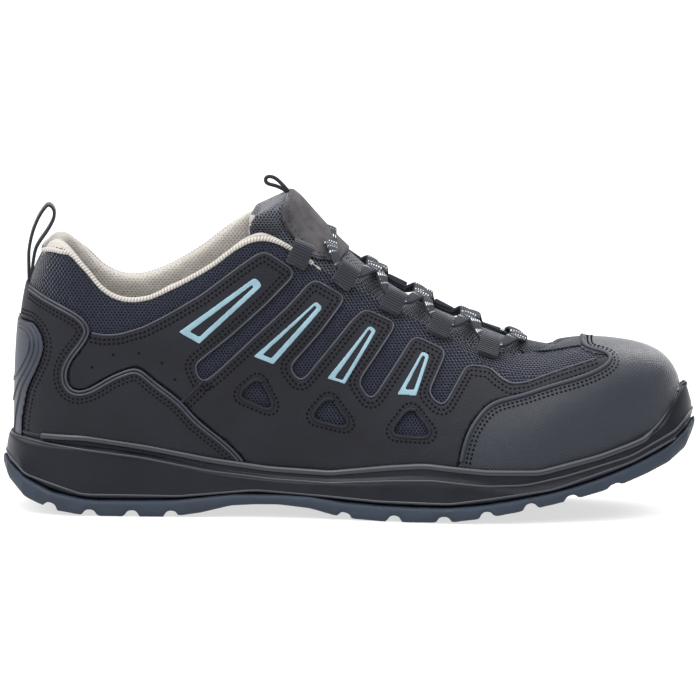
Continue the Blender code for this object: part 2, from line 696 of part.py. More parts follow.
def shifted(line, distance):
    """A line moved to its left by a distance."""
    moved = []
    for i, point in enumerate(line):
        before = line[max(i - 1, 0)]
        after = line[min(i + 1, len(line) - 1)]
        way = Vector((after[0] - before[0], after[1] - before[1])).normalized()
        moved.append((point[0] - way.y * distance, point[1] + way.x * distance))
    return moved


def rounded(corners, steps=3):
    """Fillet the corners of a closed outline. Each corner gives its own radius."""
    outline_points = []
    count = len(corners)
    for i, (x, z, radius) in enumerate(corners):
        here = Vector((x, z))
        if radius <= 0.0:
            outline_points.append((x, z))
            continue
        before = Vector(corners[i - 1][:2]) - here
        after = Vector(corners[(i + 1) % count][:2]) - here
        half = before.angle(after) / 2
        run = min(radius / math.tan(half), CORNER_RUN * before.length, CORNER_RUN * after.length)
        start = here + before.normalized() * run
        end = here + after.normalized() * run
        for step in range(steps + 1):
            t = step / steps
            point = start * (1 - t) ** 2 + here * 2 * t * (1 - t) + end * t * t
            outline_points.append((point.x, point.y))
    return outline_points


def shell(name, stations, thickness, material, around):
    """A layer of even thickness that lies a gap outside the upper, from the sole's rim upwards."""
    loops = []
    for side, station in stations:
        outer, _ = section(side, station)
        first = rim_share(side, station, outer, GAP)
        skin = curve_rows(side, station, outer, GAP + thickness, first)
        back = curve_rows(side, station, outer, GAP, first)
        loops.append(skin + list(reversed(back)))
    return sweep(name, loops, material, around=around)


def toe_cap_outline(distance):
    line = shifted(in_side_view(TOE_CAP_EDGE), distance)
    ahead = (1 + OVERRUN) * SHOE_LENGTH - ORIGIN_X
    return line + [(ahead, line[-1][1]), (ahead, line[0][1])]


def counter_outline(distance):
    line = shifted(in_side_view(COUNTER_EDGE), distance)
    behind = -OVERRUN * SHOE_LENGTH - ORIGIN_X
    return line + [(behind, line[-1][1]), (behind, line[0][1])]


def heel_pad_outline(distance):
    line = shifted(in_side_view(HEEL_PAD_EDGE), distance)
    behind = -OVERRUN * SHOE_LENGTH - ORIGIN_X
    return line + [(behind, line[-1][1]), (behind, line[0][1])]


def make_toe_cap(material):
    piece = shell("toe_cap", round_trip(1.54, 3.0), OVERLAY_THICKNESS, material, False)
    cut(piece, side_prism("toe_cap_cutter", toe_cap_outline(0.0)), 'INTERSECT')
    return piece


def make_heel_counter(material):
    piece = shell("heel_counter", heel_trip(1.48), OVERLAY_THICKNESS, material, False)
    cut(piece, side_prism("counter_cutter", counter_outline(0.0)), 'INTERSECT')
    cut(piece, side_prism("pad_hole_cutter", heel_pad_outline(GAP)), 'DIFFERENCE')
    return piece


def make_heel_pad(material):
    piece = shell("heel_pad", heel_trip(1.06), HEEL_PAD_THICKNESS, material, False)
    cut(piece, side_prism("pad_cutter", heel_pad_outline(0.0)), 'INTERSECT')
    return piece


def make_quarter_panel(side, material):
    """The side panel with its four fingers and three windows, between counter and toe cap."""
    label = "lateral" if side == LATERAL else "medial"
    stations = [(side, station) for station in walk(0.75, 3.0)]
    piece = shell("quarter_panel_" + label, stations, OVERLAY_THICKNESS, material, False)
    corners = [(x * SHOE_LENGTH - ORIGIN_X, z * COLLAR_HEIGHT, radius * SHOE_LENGTH * PANEL_CORNER)
               for x, z, radius in PANEL_TOP]
    cut(piece, side_prism("panel_cutter", rounded(corners)), 'INTERSECT')
    cut(piece, side_prism("counter_clearance", counter_outline(GAP)), 'DIFFERENCE')
    cut(piece, side_prism("toe_cap_clearance", toe_cap_outline(GAP)), 'DIFFERENCE')
    for number, window in enumerate(WINDOWS):
        corners = [(x, z, WINDOW_CORNER * SHOE_LENGTH) for x, z in in_side_view(window)]
        cut(piece, side_prism("window_cutter_%d" % number, rounded(corners, 2)), 'DIFFERENCE')
    return piece


# The tongue from its root under the toe end of the throat to its free end. Its columns are the place
# of its top as a share of the shoe's length, its height as a share of the tongue's, its thickness as
# a share of the tongue's, its tuck, which is how far its edges reach past the throat's inner edge as a
# share of the ball width, and its arch, which is the drop of its edges as a share of the tongue's
# height where they aren't tucked.
TONGUE = (
    (0.797, 0.512, 0.30, 0.030, 0.000),
    (0.765, 0.522, 0.40, 0.040, 0.000),
    (0.725, 0.545, 0.55, 0.040, 0.000),
    (0.679, 0.583, 0.75, 0.038, 0.000),
    (0.630, 0.622, 0.90, 0.036, 0.000),
    (0.580, 0.673, 1.00, 0.034, 0.000),
    (0.530, 0.747, 1.00, 0.030, 0.000),
    (0.480, 0.846, 1.05, 0.018, 0.000),
    (0.456, 0.900, 1.15, -0.034, 0.110),
    (0.433, 0.955, 1.35, -0.060, 0.100),
    (0.415, 0.996, 1.50, 0.020, 0.070),
    (0.402, 0.992, 1.20, 0.020, 0.070))
TONGUE_ACROSS = (-1.0, -0.86, -0.6, -0.3, 0.0, 0.3, 0.6, 0.86, 1.0)
TONGUE_EDGE = 0.86
TONGUE_CLEARANCE = 5 * GAP
# How much of the clearance the tucked edges also keep sideways, how full the tongue's crown is with
# tucked and with free edges, and how much thinner its edges are.
TUCK_CLEARANCE = 0.6
TUCKED_CROWN = 2.4
FREE_CROWN = 2.2
THIN_EDGE = 0.62
THROAT_END = 1.985
BADGE_ROWS = (7, 8, 9, 10)
BADGE_ACROSS = (-0.6, -0.3, 0.0, 0.3, 0.6)


def station_at(x):
    """The station of a place between heel and toe axes."""
    return 1.0 + (x + ORIGIN_X - HEEL_AXIS) / (TOE_AXIS - HEEL_AXIS)


def roof(side, x, beyond):
    """The inner edge of the throat at a place, and the inner surface some way past that edge, as
    distance and height pairs."""
    _, inner = section(side, min(max(station_at(x), 1.0), THROAT_END))
    low, high = 0.5, 1.0
    for _ in range(BISECTIONS):
        middle = (low + high) / 2
        if bezier(inner, middle)[0][0] > inner[3][0] + beyond:
            low = middle
        else:
            high = middle
    return inner[3], bezier(inner, high)[0]


def tongue_line(row):
    """The tongue's middle line at a row: its place, its way up out of the tongue, its thickness."""
    places = [Vector((x * SHOE_LENGTH - ORIGIN_X, 0.0, z * TONGUE_HEIGHT)) for x, z, *_ in TONGUE]
    last = len(TONGUE) - 2
    before = places[max(min(row, last) - 1, 0)]
    after = places[min(row + 1, last)]
    way = (before - after).normalized()
    up = Vector((-way.z, 0.0, way.x))
    return places[row], up, TONGUE[row][2] * TONGUE_THICKNESS


def tongue_point(row, across, lift):
    """A point of the tongue's upper face, or lift above it. Across runs from -1 to 1."""
    middle, up, _ = tongue_line(row)
    side = LATERAL if across < 0 else MEDIAL
    tuck, arch = TONGUE[row][3] * BALL_WIDTH, TONGUE[row][4] * TONGUE_HEIGHT
    share = abs(across)
    spine = smooth(PLAN["spine"], station_at(middle.x)) * BALL_WIDTH
    swing = smooth(PLAN["throat"], station_at(middle.x)) * BALL_WIDTH
    ridge = Vector((middle.x, spine + swing, middle.z))
    if share == 0.0:
        return ridge + up * lift
    x = middle.x
    for _ in range(4):
        edge, under = roof(side, x, max(tuck, 0.0))
        reach = edge[0] - side * swing
        if arch == 0.0:
            rim = edge[1] - TONGUE_CLEARANCE
            if share > TONGUE_EDGE:
                radius = under[0] - side * swing - TUCK_CLEARANCE * TONGUE_CLEARANCE
                height = under[1] - TONGUE_CLEARANCE
            else:
                radius = reach * share / TONGUE_EDGE
                height = rim + (middle.z - rim) * (1 - (share / TONGUE_EDGE) ** TUCKED_CROWN)
        else:
            radius = (reach + tuck) * share
            height = middle.z - up.z * arch * share ** FREE_CROWN
        drop = (middle.z - height) / up.z
        x = middle.x - up.x * drop
    return Vector((x, spine + swing + side * radius, height)) + up * lift


def make_tongue(material):
    loops = []
    for row in range(len(TONGUE)):
        _, up, thick = tongue_line(row)
        top = [tongue_point(row, across, 0.0) for across in TONGUE_ACROSS]
        under = [point - up * thick * (1 - THIN_EDGE * across ** 2)
                 for point, across in zip(top, TONGUE_ACROSS)]
        loops.append(top + list(reversed(under)))
    return sweep("tongue", loops, material, around=False)


def make_tongue_badge(material):
    """The bare leather patch sewn on the tongue's upper face."""
    loops = []
    for row in BADGE_ROWS:
        low = [tongue_point(row, across, GAP) for across in BADGE_ACROSS]
        high = [tongue_point(row, across, GAP + BADGE_THICKNESS) for across in BADGE_ACROSS]
        loops.append(low + list(reversed(high)))
    return sweep("tongue_badge", loops, material, around=False)


def strip(name, path, normals, width, thickness, material, closed):
    """A flat strip along a path, with its broad faces across the normals."""
    loops = []
    count = len(path)
    for i, point in enumerate(path):
        before = path[i - 1] if i or closed else path[0]
        after = path[(i + 1) % count] if i + 1 < count or closed else path[-1]
        way = (after - before).normalized()
        across = normals[i].cross(way).normalized() * width / 2
        up = way.cross(across).normalized() * thickness / 2
        loops.append([point + across + up, point - across + up,
                      point - across - up, point + across - up])
    return sweep(name, loops, material, around=closed)


# Side view of a webbing loop as shares of its reach: along is towards the lace and out is away from
# the upper. It starts at the foot, runs under the lace and comes back over it.
LOOP_LINE = (
    (-0.28, 0.075), (0.00, 0.070), (0.26, 0.100), (0.42, 0.190), (0.45, 0.310), (0.34, 0.405),
    (0.16, 0.380), (-0.08, 0.255), (-0.28, 0.185))
LOOP_STATIONS = (1.430, 1.521, 1.619, 1.714, 1.815)
# The throat's direction is read over this run of stations, and its way up at this share of the side.
EDGE_RUN = 0.012
UPHILL_SHARE = 0.9
# Where a lace leaves a webbing loop, as shares of the loop's reach, and the shape of its crown.
LACE_ALONG = 0.62
LACE_OUT = 0.36
LACE_CROWN = 2.6
LACE_STEPS = 8
LACE_SLOPE_RUN = 0.004


def throat_frame(side, station):
    """The throat's edge at a station, with its ways towards the lace, along the edge and out."""
    outer, _ = section(side, station)
    here = place(side, station, *outer[3])
    before, after = station - EDGE_RUN, station + EDGE_RUN
    along = place(side, after, *section(side, after)[0][3])
    along -= place(side, before, *section(side, before)[0][3])
    along.normalize()
    uphill = here - place(side, station, *bezier(outer, UPHILL_SHARE)[0])
    uphill = (uphill - along * uphill.dot(along)).normalized()
    out = uphill.cross(along) if side == LATERAL else along.cross(uphill)
    if out.z < 0:
        out = -out
    return here, uphill, along, out.normalized()


def loop_place(frame, along, out, aside=0.0):
    """A point by its place in a webbing loop's side view, moved aside towards the toe."""
    here, uphill, toeward, outward = frame
    return here + uphill * along * WEBBING_REACH + outward * (out * WEBBING_REACH + GAP) + toeward * aside


def make_lace_loops(material):
    for side, label in ((LATERAL, "lateral"), (MEDIAL, "medial")):
        for number, station in enumerate(LOOP_STATIONS, 1):
            frame = throat_frame(side, station)
            path = [loop_place(frame, along, out) for along, out in LOOP_LINE]
            normals = []
            for i, point in enumerate(path):
                way = (path[(i + 1) % len(path)] - path[i - 1]).normalized()
                normals.append(frame[2].cross(way) if side == LATERAL else way.cross(frame[2]))
            strip("lace_loop_%s_%d" % (label, number), path, normals,
                  WEBBING_WIDTH, WEBBING_THICKNESS, material, True)


def lace_run(start, end, rise, bow):
    """Points of a lace run that crosses the tongue. Start and end give a webbing loop's number and
    the side of it, towards the toe or the heel, that the lace leaves from."""
    first = throat_frame(LATERAL, LOOP_STATIONS[start[0]])
    last = throat_frame(MEDIAL, LOOP_STATIONS[end[0]])
    beside = LACE_WIDTH / 2 + GAP
    low = loop_place(first, LACE_ALONG, LACE_OUT, start[1] * beside)
    high = loop_place(last, LACE_ALONG, LACE_OUT, end[1] * beside)
    middle = low.lerp(high, 0.5)
    crest = tongue_height(middle.x + bow) + LACE_THICKNESS / 2 + LACE_LIFT + rise
    points = []
    for step in range(LACE_STEPS + 1):
        share = 2 * step / LACE_STEPS - 1
        point = low.lerp(high, step / LACE_STEPS)
        point.x += bow * (1 - share * share) ** 2
        point.z += (crest - middle.z) * (1 - abs(share) ** LACE_CROWN)
        points.append(point)
    return points


def tongue_height(x):
    """Height of the tongue's middle line at a place."""
    rows = [(row[0] * SHOE_LENGTH - ORIGIN_X, row[1] * TONGUE_HEIGHT) for row in TONGUE[:-1]]
    return smooth(list(reversed(rows)), x)


def lace_strip(name, start, end, rise, material, bow=0.0):
    points = lace_run(start, end, rise, bow)
    normals = []
    for point in points:
        drop = tongue_height(point.x - LACE_SLOPE_RUN) - tongue_height(point.x + LACE_SLOPE_RUN)
        normals.append(Vector((drop, 0.0, 2 * LACE_SLOPE_RUN)).normalized())
    return strip(name, points, normals, LACE_WIDTH, LACE_THICKNESS, material, False)


def make_laces(material):
    last = len(LOOP_STATIONS) - 1
    lace_strip("lace_bar_toe", (last, 1), (last, 1), 0.0, material)
    lace_strip("lace_bar_top", (1, -1), (1, -1), -3 * GAP, material, TOP_BAR_BOW)
    for number in range(1, last):
        upper, lower = (number, 1), (number + 1, -1)
        clear = LACE_THICKNESS + 2 * GAP if number == 1 else 0.0
        piece = lace_strip("lace_cross_%d" % number, upper, lower, clear, material)
        over = lace_strip("lace_over", lower, upper, clear + LACE_OVER, None)
        over.hide_render = True
        over.display_type = 'WIRE'
        cut(piece, over, 'UNION')


# Side view of the pull loop at the heel, as shares of the collar height: how far it lies ahead of its
# foot, which rests on the upper's back, and its height.
PULL_LOOP_LINE = (
    (-0.0170, 0.864), (-0.0157, 0.907), (-0.0021, 0.962), (0.0208, 1.034), (0.0453, 1.085),
    (0.0665, 1.118), (0.0869, 1.107), (0.0877, 1.075), (0.0665, 1.034), (0.0360, 0.995),
    (0.0165, 0.961), (0.0038, 0.915), (0.0000, 0.864))
# Side view of the small cord loop at the tongue's end, as shares of the shoe's length and the
# tongue's height.
TONGUE_LOOP_LINE = (
    (0.4100, 1.006), (0.3990, 1.028), (0.3880, 1.037), (0.3790, 1.034), (0.3745, 1.027),
    (0.3770, 1.020), (0.3860, 1.017), (0.3950, 1.010), (0.4020, 1.002))


def side_strip(name, points, width, thickness, material):
    """A closed strip whose path lies in the side view's plane."""
    path = [Vector((x, 0.0, z)) for x, z in points]
    normals = []
    for i in range(len(path)):
        way = (path[(i + 1) % len(path)] - path[i - 1]).normalized()
        normals.append(way.cross(Vector((0.0, 1.0, 0.0))))
    return strip(name, path, normals, width, thickness, material, True)


def make_pull_loop(material):
    outer, _ = section(LATERAL, 0.0)
    radius = bezier(outer, share_at_height(outer, PULL_LOOP_LINE[-1][1] * COLLAR_HEIGHT))[0][0]
    foot = place(LATERAL, 0.0, radius, 0.0).x - GAP - PULL_LOOP_THICKNESS / 2
    points = [(foot + x * COLLAR_HEIGHT, z * COLLAR_HEIGHT) for x, z in PULL_LOOP_LINE]
    return side_strip("heel_pull_loop", points, PULL_LOOP_WIDTH, PULL_LOOP_THICKNESS, material)


def make_tongue_loop(material):
    points = [(x * SHOE_LENGTH - ORIGIN_X, z * TONGUE_HEIGHT) for x, z in TONGUE_LOOP_LINE]
    return side_strip("tongue_loop", points, TONGUE_LOOP_WIDTH, TONGUE_LOOP_THICKNESS, material)


for leftover in list(bpy.data.objects):
    bpy.data.objects.remove(leftover, do_unlink=True)

rubber = paint("outsole_rubber", (0.062, 0.085, 0.122), 0.6)
foam = paint("midsole_foam", (0.032, 0.034, 0.044), 0.45)
mesh_cloth = paint("mesh_cloth", (0.035, 0.038, 0.055), 0.9)
lining_cloth = paint("lining_cloth", (0.45, 0.40, 0.33), 0.95)
leather = paint("panel_leather", (0.045, 0.042, 0.045), 0.55)
scuff = paint("toe_cap_scuff", (0.050, 0.055, 0.068), 0.6)
pad_plastic = paint("heel_pad_plastic", (0.040, 0.055, 0.080), 0.5)
badge_leather = paint("badge_leather", (0.090, 0.085, 0.090), 0.7)
webbing = paint("webbing", (0.030, 0.034, 0.045), 0.85)
cord = paint("lace_cord", (0.060, 0.060, 0.070), 0.85)

make_outsole(rubber)
make_midsole(foam)
make_insole(lining_cloth)
make_upper(mesh_cloth)
make_toe_cap(scuff)
make_heel_counter(leather)
make_heel_pad(pad_plastic)
make_quarter_panel(LATERAL, leather)
make_quarter_panel(MEDIAL, leather)
make_tongue(mesh_cloth)
make_tongue_badge(badge_leather)
make_lace_loops(webbing)
make_laces(cord)
make_pull_loop(webbing)
make_tongue_loop(cord)
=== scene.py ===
"""Dresses the safety trainer's solids in cloth, leather, stitching and laces, in a studio."""
import math
import bpy
import numpy as np
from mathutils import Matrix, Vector
from mathutils.bvhtree import BVHTree


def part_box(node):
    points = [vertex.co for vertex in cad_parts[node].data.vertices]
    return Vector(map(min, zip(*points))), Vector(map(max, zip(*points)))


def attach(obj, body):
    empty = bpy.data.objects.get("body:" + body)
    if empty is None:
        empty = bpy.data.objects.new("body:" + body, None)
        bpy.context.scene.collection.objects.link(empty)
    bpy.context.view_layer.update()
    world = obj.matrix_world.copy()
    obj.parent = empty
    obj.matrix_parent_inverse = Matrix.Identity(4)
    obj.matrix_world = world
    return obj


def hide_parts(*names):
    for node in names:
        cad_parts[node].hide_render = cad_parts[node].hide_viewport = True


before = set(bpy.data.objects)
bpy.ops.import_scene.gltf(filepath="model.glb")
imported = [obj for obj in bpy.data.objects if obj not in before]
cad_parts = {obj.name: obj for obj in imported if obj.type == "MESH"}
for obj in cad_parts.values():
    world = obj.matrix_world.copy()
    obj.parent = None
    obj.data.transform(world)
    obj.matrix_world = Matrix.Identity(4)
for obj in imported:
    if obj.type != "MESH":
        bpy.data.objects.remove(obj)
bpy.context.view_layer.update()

bl_info = {
    "name": "Safety trainer",
    "version": (1, 0, 0),
    "blender": (4, 5, 0),
    "location": "View3D > Sidebar > Trainer",
    "description": "Builds the trainer's visible pieces over its solids",
    "category": "Mesh",
}

# Places are given in millimetres, x from the back of the heel and z above the ground.
HEEL_BACK = 61.9
MM = 0.001
LATERAL, MEDIAL = -1, 1
SIDES = ((LATERAL, "lateral"), (MEDIAL, "medial"))
# From where to where across the shoe a piece of one side reaches.
HALVES = {LATERAL: (-0.09, 0.002), MEDIAL: (0.002, 0.09)}
# The sole's straight sides run between the middles of its round heel and toe.
HEEL_MIDDLE, TOE_MIDDLE = -26.868, 188.156

TOE_CAP_EDGE = (
    (194.8, 2.4), (198.7, 25.7), (199.6, 30.9), (202.3, 39.8), (206.9, 46.7), (212.9, 52.0),
    (226.5, 55.2), (239.8, 59.4), (253.1, 63.4), (262.1, 67.3), (264.6, 69.9), (261.5, 71.4),
    (256.7, 72.0), (252.3, 73.3), (251.3, 76.0), (251.3, 94.4))
COUNTER_EDGE = (
    (-15.1, 102.7), (9.1, 99.7), (18.1, 95.7), (26.3, 91.6), (32.9, 88.0), (36.8, 84.0),
    (37.8, 80.9), (35.3, 75.4), (30.5, 68.8), (28.1, 63.0), (28.7, 57.5), (32.0, 54.8),
    (37.8, 56.2), (46.5, 61.4), (54.7, 64.8), (59.5, 64.9), (66.7, 59.2), (77.3, 51.2),
    (85.5, 42.5), (104.2, 26.0), (114.8, 2.4))
HEEL_PAD_EDGE = (
    (-15.1, 83.5), (9.1, 83.3), (13.3, 82.5), (16.6, 77.4), (16.9, 70.9), (14.2, 63.1),
    (10.9, 55.2), (9.4, 48.1), (8.2, 38.9), (7.6, 23.6))
# Each corner of the panel's upper edge gives its fillet as a third value.
PANEL_EDGE = (
    (28.0, 81.6, 0), (33.0, 81.2, 0), (37.4, 80.7, 0), (43.5, 79.6, 0), (50.4, 80.0, 0),
    (61.0, 83.3, 0), (70.7, 88.4, 0), (85.5, 97.2, 0), (103.6, 110.9, 0), (112.6, 117.0, 4.5),
    (127.6, 107.0, 3.0), (113.9, 93.0, 0), (98.8, 79.4, 0), (83.1, 66.7, 2.4), (86.7, 59.0, 2.0),
    (93.6, 64.8, 0), (108.7, 79.2, 0), (123.8, 93.1, 0), (134.1, 104.4, 3.3), (148.9, 95.8, 1.6),
    (138.0, 81.3, 0), (124.7, 66.3, 2.0), (129.6, 59.9, 2.0), (151.3, 86.5, 0),
    (156.7, 91.1, 2.2), (171.2, 84.4, 1.6), (154.9, 60.2, 2.0), (160.4, 52.2, 2.0),
    (178.2, 79.5, 1.8), (193.0, 72.7, 1.6), (185.4, 55.5, 2.0), (191.5, 49.9, 2.0),
    (201.4, 67.0, 2.0), (212.0, 65.6, 2.6), (215.9, 62.1, 2.4), (221.1, 59.0, 3.0),
    (228.3, 59.8, 0), (244.3, 65.3, 0), (262.1, 70.8, 0), (280.9, 75.5, 0))
PANEL_CLOSE = ((296.0, 47.2), (296.0, 2.4), (28.0, 2.4))
WINDOWS = (
    ((111.1, 61.6), (102.1, 53.7), (119.0, 46.7)),
    ((141.9, 53.7), (134.1, 44.4), (152.5, 40.1)),
    ((177.6, 49.6), (168.8, 38.1), (187.8, 37.3)))
TRIMS = (
    (((76.2, 81.3, 0.4), (85.2, 76.3, 0.6), (112.6, 101.9, 2.0), (109.2, 105.4, 2.2)),
     ((81.0, 81.6, 0.2), (85.2, 79.4, 0.2), (108.6, 101.1, 0.4), (107.8, 101.9, 0.4))),
    (((108.9, 70.9, 0.4), (117.5, 67.6, 0.6), (138.9, 92.2, 1.6), (136.0, 95.1, 1.8)),
     ((112.9, 71.7, 0.2), (116.7, 70.3, 0.2), (136.3, 92.3, 0.4), (135.3, 93.1, 0.4))),
    (((141.0, 61.8, 0.4), (148.8, 59.5, 0.6), (162.4, 82.4, 1.5), (159.2, 84.6, 1.7)),
     ((144.4, 62.1, 0.2), (147.8, 61.2, 0.2), (160.2, 81.9, 0.4), (159.1, 82.7, 0.4))),
    (((171.6, 55.3, 0.4), (180.0, 55.0, 0.6), (185.6, 71.8, 1.4), (182.3, 73.6, 1.6)),
     ((175.1, 57.6, 0.2), (178.9, 57.5, 0.2), (183.7, 71.1, 0.4), (182.5, 71.6, 0.4))))
PIERCINGS = ((47.8, 70.9), (59.1, 71.7), (69.1, 67.6), (38.7, 65.3), (74.9, 60.6))
# Where the collar's lining ends at the throat, and how far down the outside the lining reaches.
COLLAR_FRONT = 137
COLLAR_BAND = (
    (0.0, 8.5), (15.0, 8.0), (19.0, 4.6), (23.0, 2.8), (38.0, 2.2), (60.0, 1.4), (140.0, 1.0))
BADGE_EDGE = (
    (124.6, 141.1), (121.7, 137.2), (120.3, 133.1), (120.6, 129.5), (122.1, 125.4),
    (125.1, 121.2), (128.9, 117.0), (132.6, 113.7), (136.6, 111.9), (141.0, 111.2), (145.9, 111.0))
BADGE_CLOSE = ((152.0, 116.0), (152.0, 135.0), (133.0, 150.0), (127.5, 146.0))
# How far the padding swells the tongue's back, by height.
TONGUE_SWELL = (
    (90.0, 0.0), (102.0, 6.5), (112.0, 12.5), (119.0, 13.8), (124.0, 12.4), (128.0, 8.6),
    (131.0, 4.6), (134.0, 1.4), (137.0, 0.0))
# The line inside the upper that its outer faces look away from, in metres.
AXIS_BACK, AXIS_FRONT, AXIS_SIDE, AXIS_HEIGHT = -0.0269, 0.188, 0.001, 0.035
# How far the cloth's edge stands above the solid's beside the throat, by the place along the foot.
EDGE_RISE = {
    LATERAL: (
        (64.0, 0.0), (72.0, 1.6), (93.0, 1.0), (102.0, 3.4), (112.0, 5.2), (121.0, 4.4),
        (128.0, 2.4), (134.0, 0.8), (139.0, 0.0)),
    MEDIAL: (
        (60.0, 0.0), (72.0, 1.4), (88.0, 3.0), (98.0, 5.5), (106.0, 8.0), (114.0, 8.0),
        (124.0, 5.0), (134.0, 1.5), (140.0, 0.0))}
PULL_LOOP = (
    (10.6, 96.9), (10.3, 106.6), (10.4, 113.2), (11.9, 120.7), (14.5, 127.3), (17.6, 132.0),
    (19.3, 132.6), (21.1, 130.3), (20.9, 126.5), (18.4, 121.6), (15.2, 116.9), (13.3, 113.2),
    (12.4, 108.8), (11.8, 103.0), (11.6, 96.9))
RIM_LINE = (
    (0.0, 37.0), (8.0, 34.4), (35.0, 34.0), (63.0, 30.0), (90.0, 25.0), (117.0, 21.4),
    (143.0, 20.2), (170.0, 23.6), (184.0, 24.8), (211.0, 22.4), (234.0, 22.1), (260.0, 28.4),
    (274.0, 33.0), (284.0, 36.8), (292.0, 48.0), (297.0, 57.0))
RIDGE_LINE = (
    (0.0, 33.5), (28.0, 30.0), (60.0, 26.0), (90.0, 20.3), (117.0, 17.2), (143.0, 16.0),
    (170.0, 17.9), (187.0, 18.7), (211.0, 16.6), (228.0, 17.0), (245.0, 20.5), (274.0, 28.5),
    (293.0, 38.0), (301.0, 46.0))
FOOT_LINE = (
    (0.0, 26.6), (5.0, 21.8), (11.0, 17.0), (35.0, 9.6), (77.0, 9.3), (110.0, 12.3), (164.0, 8.8),
    (195.0, 8.7), (240.0, 15.1), (274.0, 26.0), (293.0, 35.0), (301.0, 43.0))
CORD_LOOP = (
    (125.5, 137.0), (123.2, 139.6), (120.8, 142.3), (117.5, 145.2), (114.7, 145.9),
    (113.3, 144.8), (114.2, 142.9), (118.5, 141.6), (122.2, 139.6), (125.0, 136.4))


# The camera's middle of view, distance, width of view and sensor, in metres and millimetres, and
# its tilt and roll in degrees.
TARGET = (0.0890, 0.0, 0.0700)
CAMERA_AWAY, VIEW_WIDTH, SENSOR = 12.0, 0.3057, 36.0
CAMERA_TILT, CAMERA_ROLL = 7.0, 0.6
# Each light's name, kind, place, size (degrees for the sun, else metres) and power.
LIGHTS = (
    ("sky", 'SUN', (-0.25, -0.35, 1.6), 110, 5.2),
    ("key", 'AREA', (-0.45, -1.0, 1.5), 0.7, 6.0),
    ("rim", 'AREA', (0.7, 0.9, 1.0), 0.8, 9.0))


def tone(red, green, blue):
    """A display colour from 0 to 255 as a scene colour."""
    values = [channel / 255 for channel in (red, green, blue)]
    return tuple(v / 12.92 if v <= 0.04045 else ((v + 0.055) / 1.055) ** 2.4 for v in values)


def length(label, text, default):
    return bpy.props.FloatProperty(
        name=label, description=text, default=default, unit='LENGTH', subtype='DISTANCE',
        precision=4)


class TrainerSizes(bpy.types.PropertyGroup):
    overlay: length("Overlay", "Thickness of the leather overlays", 0.0014)
    pad: length("Heel pad", "Thickness of the moulded heel pad", 0.0026)
    trim: length("Trim", "Thickness of the reflective trims", 0.0004)
    stitch: length("Stitch", "Length of one stitch", 0.0013)
    pitch: length("Stitch pitch", "Distance from stitch to stitch", 0.0020)
    thread: length("Thread", "Diameter of the sewing thread", 0.0009)
    lace: length("Lace", "Width of the flat lace", 0.0068)


def colour(label, text, default):
    return bpy.props.FloatVectorProperty(
        name=label, description=text, subtype='COLOR', default=default, min=0.0, max=1.0)


class TrainerColours(bpy.types.PropertyGroup):
    leather: colour("Leather", "Side panels and counter", tone(22, 23, 30))
    cap: colour("Toe cap", "Abrasion-resistant toe cap", tone(16, 22, 34))
    cloth: colour("Mesh cloth", "Threads of the outer mesh", tone(34, 38, 51))
    tongue: colour("Tongue cloth", "Threads of the tongue's mesh", tone(78, 81, 90))
    lining: colour("Lining", "Lining and collar piping", tone(166, 161, 154))
    trim: colour("Trims", "Reflective trims", tone(112, 142, 154))
    midsole: colour("Midsole", "Moulded midsole", tone(8, 11, 21))
    outsole: colour("Outsole", "Rubber outsole", tone(30, 40, 53))
    pad: colour("Heel pad", "Moulded heel pad", tone(34, 39, 51))
    badge: colour("Badge", "Bare leather patch on the tongue", tone(64, 62, 65))
    lace: colour("Lace", "Dark yarn of the lace", tone(31, 34, 42))
    webbing: colour("Webbing", "Lace loops and pull loop", tone(19, 22, 30))


class Value:
    """A node socket that works in Python expressions."""

    def __init__(self, paint, socket):
        self.paint = paint
        self.socket = socket

    def math(self, operation, *others):
        values = [self] + list(others)
        node = self.paint.node('ShaderNodeMath', {"operation": operation},
                               {i: value for i, value in enumerate(values)})
        return Value(self.paint, node.outputs[0])

    def flipped(self, operation, other):
        node = self.paint.node('ShaderNodeMath', {"operation": operation}, {0: other, 1: self})
        return Value(self.paint, node.outputs[0])

    def __add__(self, other):
        return self.math('ADD', other)

    __radd__ = __add__

    def __mul__(self, other):
        return self.math('MULTIPLY', other)

    __rmul__ = __mul__

    def __sub__(self, other):
        return self.math('SUBTRACT', other)

    def __rsub__(self, other):
        return self.flipped('SUBTRACT', other)

    def __truediv__(self, other):
        return self.math('DIVIDE', other)

    def ramp(self, low, high, start=0.0, end=1.0):
        """Smoothly from start at low to end at high."""
        node = self.paint.node('ShaderNodeMapRange', {"interpolation_type": 'SMOOTHSTEP'},
                               {"Value": self, "From Min": low, "From Max": high,
                                "To Min": start, "To Max": end})
        return Value(self.paint, node.outputs[0])


